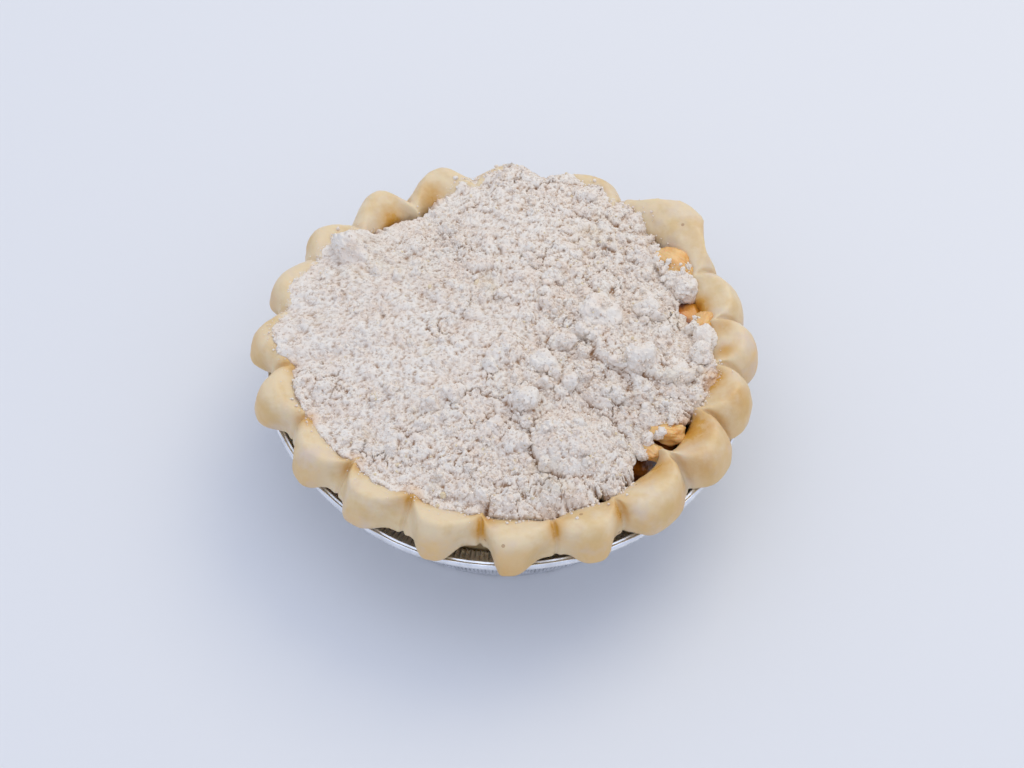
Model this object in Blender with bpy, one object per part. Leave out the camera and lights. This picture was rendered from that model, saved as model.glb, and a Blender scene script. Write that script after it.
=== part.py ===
"""An unbaked apple crumble pie, five inches across, in its pleated foil dish.

Metres, +Z up. The origin is the middle of the dish's underside. Sizes below are millimetres unless they say
otherwise, and MM turns them into metres. Angles run from +X towards +Y, as seen from above.
"""

import math

import bmesh
import bpy
import numpy as np
from mathutils import Matrix, Vector, geometry, noise

MM = 0.001
# How far a cutter is grown along its normals, which leaves 0.3 mm or more between pieces, at corners too.
CLEARANCE = 0.45

DISH_BASE_RADIUS = 47.0
DISH_MOUTH_RADIUS = 58.2
DISH_HEIGHT = 29.6
DISH_CORNER = 1.3
FOIL = 0.5
PLEATS = 40
PLEAT_DEPTH = 0.35
PLEATS_START = 6.0
BEAD_CENTRE = 62.35
BEAD_RADIUS = 1.15
BEAD_ANGLES = (-130.0, -60.0, 0.0, 60.0, 130.0)

FLUTE_STEPS = 8
LIP_RADIUS = 54.4
FLUTE_REACH = 66.8
# The lip's slow rise and fall, as height, waves in a turn, and phase.
LIP_WAVES = ((0.4, 3.0, 0.6), (0.3, 7.0, 2.1))

FILLING_TOP = 35.6
FILLING_COLUMNS = 57
FILLING_SIDE = ((42.2, 5.3), (51.3, 27.6), (50.9, 30.5))
FILLING_RINGS = (50.1, 44.0, 34.0)
# The bare gap beside the crust: its angle, half its width in degrees, where it starts, and how deep it gets.
GAP_ANGLE = 320.0
GAP_WIDTH = 14.0
GAP_START = 40.0
GAP_DEPTH = 4.1

CRUMBLE_BASE = 36.0
CRUMBLE_PEAK = 47.5
CRUMBLE_POINTS = 1150
# The crumble's swells and crumbs, as height and how many steps of noise a millimetre holds.
SWELL = (0.75, 0.16)
CRUMBS = ((0.9, 0.37), (0.7, 0.8))

# One row for each flute of the crust, anticlockwise: the angle of the crease before it, how far out the lip
# stands at that crease, the angle of its crest, how far the crest reaches, how square it is across, how wide
# its foot is, as a share of its top, how much its lip is raised, how far the valley before it is arched up,
# and how gently it rises out of its valleys.
FLUTES = (
    (-8.0, 54.6, 0.0, 66.0, 2.3, 1.00, 0.0, 0.0, 0.85),
    (7.5, 55.1, 15.0, 64.8, 2.3, 1.00, -0.2, 0.0, 0.85),
    (24.0, 55.6, 42.0, 69.4, 3.4, 1.00, 1.2, 0.0, 1.0),
    (57.5, 54.4, 66.5, 65.0, 2.2, 0.95, 0.4, 0.0, 1.1),
    (80.0, 55.2, 88.5, 64.6, 2.0, 0.90, 0.2, 0.0, 1.3),
    (99.0, 55.2, 108.0, 64.8, 2.0, 0.90, 1.0, 0.0, 1.5),
    (118.5, 52.8, 125.5, 65.2, 2.0, 0.90, 0.5, 0.0, 1.5),
    (136.0, 54.6, 144.0, 65.9, 2.0, 0.90, 0.2, 0.0, 1.4),
    (152.0, 56.4, 161.5, 66.4, 2.0, 0.85, 0.0, 0.6, 1.4),
    (169.5, 57.0, 177.5, 67.8, 2.1, 0.80, 0.0, 1.4, 1.25),
    (187.5, 56.6, 195.0, 67.2, 2.3, 0.74, 0.2, 1.5, 1.1),
    (205.5, 55.2, 215.5, 65.4, 2.2, 0.60, 0.3, 1.2, 0.95),
    (225.0, 53.0, 232.6, 64.6, 2.1, 0.57, 0.2, 1.3, 0.95),
    (244.5, 53.2, 252.6, 65.2, 1.9, 0.55, 0.0, 1.5, 1.0),
    (263.7, 55.4, 269.8, 67.0, 2.1, 0.57, 0.1, 2.6, 1.0),
    (281.5, 57.4, 290.0, 66.6, 2.4, 0.63, -0.2, 0.4, 0.9),
    (298.5, 56.4, 306.5, 66.0, 3.0, 0.85, -0.1, 0.8, 0.75),
    (319.0, 52.6, 326.5, 66.4, 2.8, 0.95, 0.3, 0.0, 0.8),
    (336.0, 53.6, 344.5, 65.8, 2.3, 1.00, 0.0, 0.0, 0.85),
)
# The flute that is a squarish flap, and how far out its sides towards +X and +Y stand.
FLAP = 2
FLAP_SIDE = 53.2
FLAP_BACK = 47.2

# The crust's section, as radius and height, at a flute's crest and at a crease. The points that line the dish
# are the same all round.
LINING_OUTSIDE = ((45.8, 1.0), (56.75, 28.9))
CREST = (
    (57.9, 31.3), (64.6, 31.2), (66.8, 32.3), (66.7, 35.4), (65.8, 38.9), (64.2, 41.4),
    (61.8, 42.5), (58.9, 41.9), (56.2, 40.5), (53.9, 38.0), (52.6, 31.6),
)
CREASE = (
    (57.0, 30.6), (60.8, 30.9), (62.0, 31.9), (61.4, 34.6), (59.8, 37.8), (57.5, 40.4),
    (54.8, 41.3), (53.0, 40.5), (52.2, 38.0), (51.9, 35.0), (51.8, 31.5),
)
LINING_INSIDE = ((52.4, 27.5), (43.2, 4.9))
LIP_INDEX = 6
# How far each section point takes the narrow shape of the flute's foot in place of its lip's, and how gently
# it rises out of the crease.
FOOT = (1.0, 1.0, 1.0, 0.82, 0.55, 0.28, 0.1, 0.0, 0.0, 0.0, 0.0)
RISE = (1.2, 1.25, 1.2, 1.15, 1.08, 1.0, 0.95, 0.95, 1.0, 1.05, 1.1)

# Where the crumble ends, as angle, radius and height of its edge. It is short of the crust on the right, and
# spills over the lip at the back and on the left.
CRUMBLE_EDGE = (
    (0, 52.0, 38.6), (5, 51.0, 38.4), (10, 50.8, 38.2), (16, 50.4, 38.0), (21, 48.2, 38.2), (28, 48.4, 38.6),
    (34, 50.4, 38.8), (39, 53.0, 39.2), (44, 55.6, 40.0), (50, 57.2, 40.6), (57, 57.6, 41.0),
    (66, 58.5, 41.8), (78, 60.8, 43.0), (89, 62.6, 43.4), (99, 57.4, 41.2), (109, 54.6, 40.4),
    (118, 50.6, 39.8), (127, 51.4, 39.8), (134, 54.0, 40.6), (143, 58.6, 42.4), (152, 57.8, 42.0),
    (163, 60.4, 43.0),
    (171, 59.4, 42.2), (177, 61.4, 43.2), (183, 60.4, 42.6), (188, 56.4, 41.0), (195, 57.8, 41.4),
    (208, 56.4, 40.0), (218, 56.4, 40.0), (226, 55.0, 39.6), (238, 56.0, 39.8), (246, 54.8, 39.6),
    (258, 55.8, 39.8), (266, 55.4, 39.6), (272, 56.6, 40.2), (281, 56.4, 40.0), (290, 56.8, 40.0),
    (298, 56.2, 39.8), (303, 55.6, 39.4), (306.5, 54.2, 38.8), (310, 50.4, 38.2), (314, 48.2, 38.2),
    (319, 47.4, 38.4), (324, 47.8, 38.6), (328.5, 50.2, 38.6), (332, 52.4, 38.8), (336, 53.6, 39.0),
    (341, 54.8, 39.2), (348, 55.6, 39.4), (353, 55.2, 39.4), (357, 53.2, 39.0),
)

# Crumble clumps that stand out, as x, y, how far the middle is above the crumble, and radius.
BIG_CLUMPS = (
    (50.6, -4.4, 0.4, 3.3), (44.1, 22.6, 0.4, 2.9), (47.6, 19.8, 0.2, 3.4), (52.0, 1.2, 0.2, 3.8),
    (24.0, 6.0, -2.0, 6.0), (-41.5, 29.0, -0.8, 5.0), (9.0, -12.0, -1.0, 3.8), (34.0, -9.0, -0.8, 4.2),
    (-19.5, -23.0, -0.2, 2.3), (37.0, 9.0, -0.5, 3.4), (43.5, -12.0, -0.4, 3.6), (2.0, -24.0, -1.2, 4.6),
)
SMALL_CLUMPS = 20
SMALL_CLUMP_RADIUS = (1.3, 2.4)
CLUMP_LUMPS = 0.28
CLUMP_FLATNESS = 0.85

# A clump half sunk in the crumble at the front, as x, y, its radius and its height.
DOME = (16.0, -34.0, 10.0, 3.0)

# Apple pieces that show in the gap, as x, y, height, length, width, thickness, turn and tilt in degrees.
APPLE_PIECES = {
    "apple_piece_back": (45.0, 27.0, 39.2, 13.0, 7.6, 5.6, -35.0, 4.0),
    "apple_piece_side": (51.2, 7.4, 38.4, 7.4, 5.4, 4.4, 60.0, 8.0),
    "apple_piece_front": (40.8, -27.4, 38.2, 9.4, 6.0, 5.0, -8.0, 4.0),
    "apple_piece_low": (36.6, -32.4, 36.8, 6.4, 4.2, 3.6, -50.0, 0.0),
}
APPLE_SQUARENESS = 0.85
APPLE_BEND = 0.16
APPLE_LUMPS = 0.1


def clear_scene():
    for thing in list(bpy.data.objects):
        bpy.data.objects.remove(thing)


def material(name, colour, roughness, metallic=0.0):
    made = bpy.data.materials.new(name)
    made.use_nodes = True
    shader = made.node_tree.nodes["Principled BSDF"]
    shader.inputs["Base Color"].default_value = (*colour, 1.0)
    shader.inputs["Roughness"].default_value = roughness
    shader.inputs["Metallic"].default_value = metallic
    return made


def add_object(name, points, faces, finish):
    """A mesh object from points in millimetres."""
    mesh = bpy.data.meshes.new(name)
    mesh.from_pydata([tuple(float(v) * MM for v in p) for p in points], [], faces)
    mesh.update()
    mesh.materials.append(finish)
    made = bpy.data.objects.new(name, mesh)
    bpy.context.scene.collection.objects.link(made)
    return made


def shade(thing, sharp_degrees):
    """Smooth shading, with edges that turn more than an angle left sharp."""
    thing.data.shade_smooth()
    thing.data.set_sharp_from_angle(angle=math.radians(sharp_degrees))


def turned_solid(name, rings, first_height, last_height, finish):
    """A closed body through rings of points, from the middle of its underside, round its edge, to its top."""
    count = len(rings[0])
    points = [(0.0, 0.0, first_height)]
    for ring in rings:
        points.extend(ring)
    points.append((0.0, 0.0, last_height))
    last = len(points) - 1
    faces = []
    for i in range(count):
        after = (i + 1) % count
        faces.append((0, 1 + after, 1 + i))
        for j in range(len(rings) - 1):
            low, high = 1 + j * count, 1 + (j + 1) * count
            faces.append((low + i, low + after, high + after, high + i))
        top = 1 + (len(rings) - 1) * count
        faces.append((last, top + i, top + after))
    return add_object(name, points, faces, finish)


def around(radii, heights, angles):
    """A ring of points from arrays of radius, height and angle in radians."""
    return list(zip(radii * np.cos(angles), radii * np.sin(angles), heights))


def flute_at(degrees):
    """Which flute an angle is in, and how far through it: 0 at its crease, 0.5 at its crest, 1 at the end."""
    first_crease = FLUTES[0][0]
    degrees = (degrees - first_crease) % 360.0 + first_crease
    index = max(i for i, row in enumerate(FLUTES) if row[0] <= degrees + 1e-6)
    crease, crest = FLUTES[index][0], FLUTES[index][2]
    next_crease = (FLUTES[(index + 1) % len(FLUTES)][0] - crease) % 360.0 + crease
    if degrees < crest:
        way = 0.5 * (degrees - crease) / (crest - crease)
    else:
        way = 0.5 + 0.5 * (degrees - crest) / (next_crease - crest)
    return index, min(max(way, 0.0), 1.0)


def flute_angles(steps):
    """Angles in degrees all round the crust, as many from each crease to its crest as from there onwards."""
    angles = []
    for index, row in enumerate(FLUTES):
        crease, crest = row[0], row[2]
        next_crease = (FLUTES[(index + 1) % len(FLUTES)][0] - crease) % 360.0 + crease
        angles.extend(np.linspace(crease, crest, steps // 2, endpoint=False))
        angles.extend(np.linspace(crest, next_crease, steps // 2, endpoint=False))
    return angles


def crust_point(index, degrees):
    """Radius and height of section point number index at an angle: the crease's blended into the crest's by 1
    less a power of how far it is off the crest, moved with the lip, the reach and the valley's arch."""
    flute, way = flute_at(degrees)
    _, lip, _, reach, square, foot_width, lip_lift, arch, rise = FLUTES[flute]
    following = FLUTES[(flute + 1) % len(FLUTES)]
    lip += (following[1] - lip) * way
    if way >= 0.5:
        arch = following[7]
    foot = FOOT[index]
    narrow = 1.0 + 13.0 * foot**2 * (1.0 - foot_width)
    square = square if index <= LIP_INDEX else 2.4
    square += (3.1 - square) * foot**2
    off = abs(2.0 * way - 1.0)
    blend = (1.0 - off**square) ** (RISE[index] * rise * narrow)
    (crest_radius, crest_height), (crease_radius, crease_height) = CREST[index], CREASE[index]
    follows_lip = min(max((crease_height - 31.0) / 7.0, 0.0), 1.0)
    follows_reach = 0.0 if index in (0, len(CREST) - 1) else (1.0 if index < LIP_INDEX else 0.5)
    at_crease = crease_radius + follows_lip * (lip - LIP_RADIUS) - 0.8 * arch * foot
    at_crest = crest_radius + follows_reach * (reach - FLUTE_REACH)
    turn = math.radians(degrees)
    radius = at_crease + (at_crest - at_crease) * blend
    if flute == FLAP:
        straight = min(FLAP_SIDE / math.cos(turn), FLAP_BACK / math.sin(turn))
        radius -= min(max((0.96 - off) / 0.28, 0.0), 1.0) * max(radius - straight, 0.0)
    wave = sum(height * math.sin(waves * turn + phase) for height, waves, phase in LIP_WAVES)
    lift = follows_lip * (wave + lip_lift * blend) + arch * foot * (1.0 - blend)
    return radius, crease_height + (crest_height - crease_height) * blend + lift


def make_crust(finish):
    degrees = flute_angles(FLUTE_STEPS)
    angles = np.radians(degrees)
    even = np.ones(len(angles))
    rings = [around(r * even, z * even, angles) for r, z in LINING_OUTSIDE]
    for index in range(len(CREST)):
        radii, heights = np.array([crust_point(index, angle) for angle in degrees]).T
        rings.append(around(radii, heights, angles))
    rings += [around(r * even, z * even, angles) for r, z in LINING_INSIDE]
    underside, floor = LINING_OUTSIDE[0][1], LINING_INSIDE[-1][1]
    crust = turned_solid("pastry_crust", rings, underside, floor, finish)
    shade(crust, 60.0)
    return crust


def make_dish(finish):
    """The foil dish: a pleated wall and flange with a rolled bead round the edge."""
    count = PLEATS * 2
    angles = np.linspace(0.0, 2.0 * math.pi, count, endpoint=False)
    fold = np.where(np.arange(count) % 2 == 0, 1.0, -1.0)
    wall_slope = (DISH_MOUTH_RADIUS - DISH_BASE_RADIUS) / DISH_HEIGHT
    across, along = 1.0 / math.hypot(1.0, wall_slope), wall_slope / math.hypot(1.0, wall_slope)
    bead = [
        (BEAD_CENTRE + BEAD_RADIUS * math.cos(a), DISH_HEIGHT + 0.1 + BEAD_RADIUS * math.sin(a))
        for a in np.radians(BEAD_ANGLES)
    ]
    low_radius = DISH_BASE_RADIUS + PLEATS_START * wall_slope
    on_wall = (across * PLEAT_DEPTH, -along * PLEAT_DEPTH)
    on_flange = (0.0, -PLEAT_DEPTH)
    flat = (0.0, 0.0)
    # Each section point is a radius, a height, and how far a pleat moves it along the radius and the height.
    section = [
        (DISH_BASE_RADIUS - DISH_CORNER, 0.0, *flat),
        (DISH_BASE_RADIUS, DISH_CORNER, *flat),
        (low_radius, PLEATS_START, *on_wall),
        (DISH_MOUTH_RADIUS, DISH_HEIGHT - 2.0 * FOIL, *on_wall),
        (DISH_MOUTH_RADIUS + FOIL, DISH_HEIGHT - 0.5 * FOIL, *on_flange),
        *[(r, z, *flat) for r, z in bead],
        (DISH_MOUTH_RADIUS + 0.5 * FOIL, DISH_HEIGHT + 0.5 * FOIL, *on_flange),
        (DISH_MOUTH_RADIUS - FOIL, DISH_HEIGHT - 1.5 * FOIL, *on_wall),
        (low_radius - FOIL, PLEATS_START, *on_wall),
        (DISH_BASE_RADIUS - FOIL, DISH_CORNER + 0.5 * FOIL, *flat),
        (DISH_BASE_RADIUS - DISH_CORNER - 0.5 * FOIL, FOIL, *flat),
    ]
    rings = [around(r + dr * fold, z + dz * fold, angles) for r, z, dr, dz in section]
    shade(turned_solid("foil_dish", rings, 0.0, FOIL, finish), 25.0)


def periodic(table, column, degrees):
    """A column of a table of angles, read smoothly between its rows at an angle in degrees."""
    stops = [row[0] for row in table]
    degrees %= 360.0
    before = max(i for i, stop in enumerate(stops) if stop <= degrees)
    after = (before + 1) % len(table)
    span = (stops[after] - stops[before]) % 360.0
    t = (degrees - stops[before]) / span
    t = t * t * (3.0 - 2.0 * t)
    return table[before][column] + (table[after][column] - table[before][column]) * t


def crumble_edge(degrees):
    """How far out the crumble goes at an angle. Where it spills over the crust it ends on top of the lip."""
    return min(periodic(CRUMBLE_EDGE, 1, degrees), crust_point(LIP_INDEX - 1, degrees)[0] - 0.4)


def dome_height(x, y):
    """The half-sunk clump: a power of 1 less the square of the way out from its middle. The power is low, so
    the side is steep, towards the front left, and high, so it is gentle, towards the back right."""
    middle_x, middle_y, radius, height = DOME
    across, along = (x - middle_x) / radius, (y - middle_y) / radius
    inside = max(1.0 - across**2 - along**2, 0.0)
    gentle = min(max(0.5 + 0.4 * across + 0.3 * along, 0.0), 1.0)
    return height * inside ** (0.35 + 1.3 * gentle)


def crumble_top(x, y):
    """The height of the crumble at a point: a low heap between its middle and its edge, rough with crumbs."""
    degrees = math.degrees(math.atan2(y, x))
    edge_height = periodic(CRUMBLE_EDGE, 2, degrees)
    share = min(math.hypot(x, y) / crumble_edge(degrees), 1.0)
    heap = edge_height + (CRUMBLE_PEAK - edge_height) * (1.0 - share**2.2) ** 0.9
    rough = sum(
        height * noise.noise(Vector((x, y, 3.0 + 6.0 * layer)) * frequency)
        for layer, (height, frequency) in enumerate((SWELL, *CRUMBS))
    )
    return heap + dome_height(x, y) + rough * min(1.0, 6.0 * (1.0 - share) + 0.35)


def filling_top(radius, degrees):
    """The height of the apple filling, lower where the crumble leaves it bare beside the crust."""
    off_middle = (degrees - GAP_ANGLE + 180.0) % 360.0 - 180.0
    bare = math.exp(-((off_middle / GAP_WIDTH) ** 2))
    towards_crust = max(0.0, (radius - GAP_START) / (FILLING_RINGS[0] - GAP_START))
    return FILLING_TOP - GAP_DEPTH * bare * towards_crust


def make_filling(finish, apples):
    """The apple filling, clear of the crust, flat under the crumble and hollowed for the pieces on it."""
    angles = np.linspace(0.0, 2.0 * math.pi, FILLING_COLUMNS, endpoint=False)
    even = np.ones(FILLING_COLUMNS)
    rings = [around(r * even, z * even, angles) for r, z in FILLING_SIDE]
    for radius in FILLING_RINGS:
        heights = np.array([filling_top(radius, math.degrees(a)) for a in angles])
        rings.append(around(radius * even, heights, angles))
    filling = turned_solid("apple_filling", rings, FILLING_SIDE[0][1], FILLING_TOP, finish)
    apply_booleans(filling, [grown(piece, CLEARANCE) for piece in apples], "DIFFERENCE")
    keep_largest(filling)
    shade(filling, 40.0)


def make_apple_piece(name, place, finish):
    """A soft, uneven piece of apple: a rounded block, slightly bent along its length."""
    x, y, z, length, width, thickness, turn, tilt = place
    shape = bmesh.new()
    bmesh.ops.create_icosphere(shape, subdivisions=2, radius=1.0)
    for vertex in shape.verts:
        p = vertex.co
        squared = Vector([math.copysign(abs(v) ** APPLE_SQUARENESS, v) for v in p])
        squared.y += APPLE_BEND * squared.x**2
        lump = 1.0 + APPLE_LUMPS * noise.noise(p * 1.7 + Vector((x, y, z)))
        vertex.co = Vector((squared.x * length, squared.y * width, squared.z * thickness)) * (0.5 * lump)
    turned = Matrix.Rotation(math.radians(turn), 4, "Z") @ Matrix.Rotation(math.radians(tilt), 4, "Y")
    placed = Matrix.Translation(Vector((x, y, z))) @ turned
    bmesh.ops.transform(shape, matrix=placed, verts=shape.verts)
    points = [tuple(v.co) for v in shape.verts]
    faces = [[v.index for v in f.verts] for f in shape.faces]
    shape.free()
    return add_object(name, points, faces, finish)


def golden_spiral(count):
    """Points spread evenly over a disc, as angles in degrees and shares of its radius."""
    turn = 180.0 * (3.0 - math.sqrt(5.0))
    return [(index * turn, math.sqrt((index + 0.5) / count)) for index in range(count)]


def crumble_core(finish):
    """The crumble's heap as one closed body. Points spread evenly over a disc of radius 1 are joined into
    triangles, then moved out to the heap's uneven outline and up to its surface."""
    rim_angles = flute_angles(FLUTE_STEPS)
    count = len(rim_angles)
    places = [(degrees, 1.0) for degrees in rim_angles]
    places += [(degrees, share * 0.96) for degrees, share in golden_spiral(CRUMBLE_POINTS)]
    disc = [Vector((math.cos(math.radians(a)), math.sin(math.radians(a)))) * share for a, share in places]
    faces = [tuple(face) for face in geometry.delaunay_2d_cdt(disc, [], [], 0, 1e-6, False)[2]]
    points = []
    for degrees, share in places:
        radius = share * crumble_edge(degrees)
        x, y = radius * math.cos(math.radians(degrees)), radius * math.sin(math.radians(degrees))
        points.append((x, y, crumble_top(x, y)))
    below = len(points)
    points += [(x * 0.985, y * 0.985, CRUMBLE_BASE) for x, y, _ in points[:count]]
    points.append((0.0, 0.0, CRUMBLE_BASE))
    for i in range(count):
        after = (i + 1) % count
        faces.append((i, below + i, below + after, after))
        faces.append((below + after, below + i, len(points) - 1))
    core = add_object("crumble_topping", points, faces, finish)
    shape = bmesh.new()
    shape.from_mesh(core.data)
    bmesh.ops.recalc_face_normals(shape, faces=shape.faces)
    shape.to_mesh(core.data)
    shape.free()
    return core


def clump(middle, radius, subdivisions, seed):
    """An uneven crumb, as points and faces, flattened where it would reach below the crumble's underside."""
    shape = bmesh.new()
    bmesh.ops.create_icosphere(shape, subdivisions=subdivisions, radius=radius)
    for vertex in shape.verts:
        place = vertex.co * (1.3 / radius) + Vector((seed * 1.7, seed * 0.9, 4.0))
        vertex.co *= 1.0 + CLUMP_LUMPS * noise.noise(place)
        vertex.co.z *= CLUMP_FLATNESS
    places = [v.co + Vector(middle) for v in shape.verts]
    points = [(p.x, p.y, max(p.z, CRUMBLE_BASE + 0.2)) for p in places]
    faces = [[v.index for v in f.verts] for f in shape.faces]
    shape.free()
    return points, faces


def apply_booleans(target, tools, operation):
    """Joins the tools to the target, or cuts them away, by one Boolean on their collection."""
    group = bpy.data.collections.new("tools")
    bpy.context.scene.collection.children.link(group)
    for tool in tools:
        bpy.context.scene.collection.objects.unlink(tool)
        group.objects.link(tool)
    change = target.modifiers.new("boolean", "BOOLEAN")
    change.operation = operation
    change.operand_type = "COLLECTION"
    change.collection = group
    change.solver = "EXACT"
    bpy.context.view_layer.update()
    graph = bpy.context.evaluated_depsgraph_get()
    result = bpy.data.meshes.new_from_object(target.evaluated_get(graph))
    target.modifiers.remove(change)
    target.data = result
    for tool in tools:
        bpy.data.objects.remove(tool)
    bpy.data.collections.remove(group)


def grown(source, by):
    """A copy of an object's mesh, each point moved out along its normal."""
    copy = source.copy()
    copy.data = source.data.copy()
    bpy.context.scene.collection.objects.link(copy)
    shape = bmesh.new()
    shape.from_mesh(copy.data)
    shape.normal_update()
    for vertex in shape.verts:
        vertex.co = vertex.co + vertex.normal * (by * MM)
    shape.to_mesh(copy.data)
    shape.free()
    return copy


def keep_largest(target):
    """Drops the scraps that a cut leaves beside the main body, whose faces all join edge to edge."""
    shape = bmesh.new()
    shape.from_mesh(target.data)
    seen, bodies = set(), []
    for start in shape.faces:
        if start in seen:
            continue
        body, queue = [], [start]
        seen.add(start)
        while queue:
            face = queue.pop()
            body.append(face)
            neighbours = {other for edge in face.edges for other in edge.link_faces} - seen
            seen |= neighbours
            queue.extend(neighbours)
        bodies.append(body)
    bodies.sort(key=len)
    bmesh.ops.delete(shape, geom=[face for body in bodies[:-1] for face in body], context="FACES")
    shape.to_mesh(target.data)
    shape.free()


def make_crumble(finish, crust, apples):
    """The heap with its clumps fused on, then cut clear of the crust and the apple pieces."""
    core = crumble_core(finish)
    clumps = []
    for index, (x, y, lift, radius) in enumerate(BIG_CLUMPS):
        subdivisions = 2 if radius > 5.0 else 1
        points, faces = clump((x, y, crumble_top(x, y) + lift), radius, subdivisions, index + 1)
        clumps.append(add_object("clump", points, faces, finish))
    draw = np.random.default_rng(12)
    for index, (degrees, share) in enumerate(golden_spiral(SMALL_CLUMPS)):
        radius = draw.uniform(*SMALL_CLUMP_RADIUS)
        out = (crumble_edge(degrees) - 1.5 * radius) * share
        x, y = out * math.cos(math.radians(degrees)), out * math.sin(math.radians(degrees))
        points, faces = clump((x, y, crumble_top(x, y) + 0.1 * radius), radius, 1, index + 50)
        clumps.append(add_object("clump", points, faces, finish))
    apply_booleans(core, clumps, "UNION")
    apply_booleans(core, [grown(thing, CLEARANCE) for thing in (crust, *apples)], "DIFFERENCE")
    keep_largest(core)
    shade(core, 40.0)


def main():
    clear_scene()
    foil = material("foil", (0.78, 0.79, 0.80), 0.28, 1.0)
    pastry = material("raw_pastry", (0.78, 0.66, 0.46), 0.5)
    apple = material("apple", (0.62, 0.36, 0.12), 0.3)
    filling = material("apple_filling", (0.36, 0.17, 0.05), 0.35)
    crumble = material("crumble", (0.78, 0.72, 0.67), 0.9)
    make_dish(foil)
    crust = make_crust(pastry)
    apples = [make_apple_piece(name, place, apple) for name, place in APPLE_PIECES.items()]
    for index, piece in enumerate(apples):
        apply_booleans(piece, [grown(thing, CLEARANCE) for thing in (crust, *apples[:index])], "DIFFERENCE")
        keep_largest(piece)
        shade(piece, 50.0)
    make_filling(filling, apples)
    make_crumble(crumble, crust, apples)


main()
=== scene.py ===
"""Dresses an unbaked apple crumble pie in its pleated foil dish, five inches across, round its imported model.

Shapes are worked out in millimetres and stored in metres, with +Z up and the origin under the middle of the
dish. Angles run from +X towards +Y, as seen from above.
"""

import itertools
import math

import bpy
import numpy as np
from bpy.props import FloatProperty, FloatVectorProperty, IntProperty, PointerProperty
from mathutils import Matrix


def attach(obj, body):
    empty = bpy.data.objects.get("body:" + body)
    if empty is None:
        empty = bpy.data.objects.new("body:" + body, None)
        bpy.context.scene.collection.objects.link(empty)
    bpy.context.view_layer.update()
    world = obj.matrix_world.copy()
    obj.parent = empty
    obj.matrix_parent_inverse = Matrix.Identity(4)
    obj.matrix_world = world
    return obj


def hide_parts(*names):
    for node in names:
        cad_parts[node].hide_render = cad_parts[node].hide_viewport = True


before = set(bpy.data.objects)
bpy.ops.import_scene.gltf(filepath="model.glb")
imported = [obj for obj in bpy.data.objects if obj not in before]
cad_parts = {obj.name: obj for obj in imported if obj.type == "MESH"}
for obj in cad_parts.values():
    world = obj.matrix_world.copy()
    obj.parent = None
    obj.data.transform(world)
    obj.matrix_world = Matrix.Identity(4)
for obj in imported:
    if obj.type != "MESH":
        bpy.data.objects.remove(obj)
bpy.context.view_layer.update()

bl_info = {
    "name": "Apple crumble pie",
    "version": (1, 0, 0),
    "blender": (4, 5, 0),
    "location": "View3D > Sidebar > Pie",
    "description": "Pastry, foil, filling and crumble of a small apple crumble pie",
    "category": "Add Mesh",
}

MM = 0.001

# The dish and its rolled rim, as the solids have them.
DISH_BASE_RADIUS = 47.0
DISH_MOUTH_RADIUS = 58.2
DISH_HEIGHT = 29.6
DISH_CORNER = 1.3
BEAD_CENTRE = 62.35
BEAD_RADIUS = 1.15
# Points round the dish for each of its pleats.
PLEAT_STEPS = 6
# The crust's lip at a plain crease, how far a plain flute reaches, which section point tops the lip, and the
# slow waves round it, as height, how many there are, and phase.
LIP_RADIUS = 54.4
FLUTE_REACH = 66.8
LIP_INDEX = 6
LIP_WAVES = ((0.4, 3.0, 0.6), (0.3, 7.0, 2.1))
# The filling's top, its side as radius and height, and how far out its top goes.
FILLING_TOP = 35.6
FILLING_SIDE = ((42.2, 5.3), (51.3, 27.6), (50.9, 30.5))
FILLING_RIM = 50.1
# The gap in the crumble: its angle and its width in degrees, how far out it starts, and how deep it is.
GAP_ANGLE = 320.0
GAP_WIDTH = 14.0
GAP_START = 40.0
GAP_DEPTH = 4.1
# The pool of syrup beside the crust on the right: its angle, half its width in degrees, how high it rises,
# how much farther out it goes, as a share, and the height that it stays below.
POOL_ANGLE = 14.0
POOL_WIDTH = 9.0
POOL_RISE = 2.3
POOL_SPREAD = 0.06
POOL_TOP = 37.4
# The heights of the crumble's underside and of its middle.
CRUMBLE_BASE = 36.0
CRUMBLE_PEAK = 47.5

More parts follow.
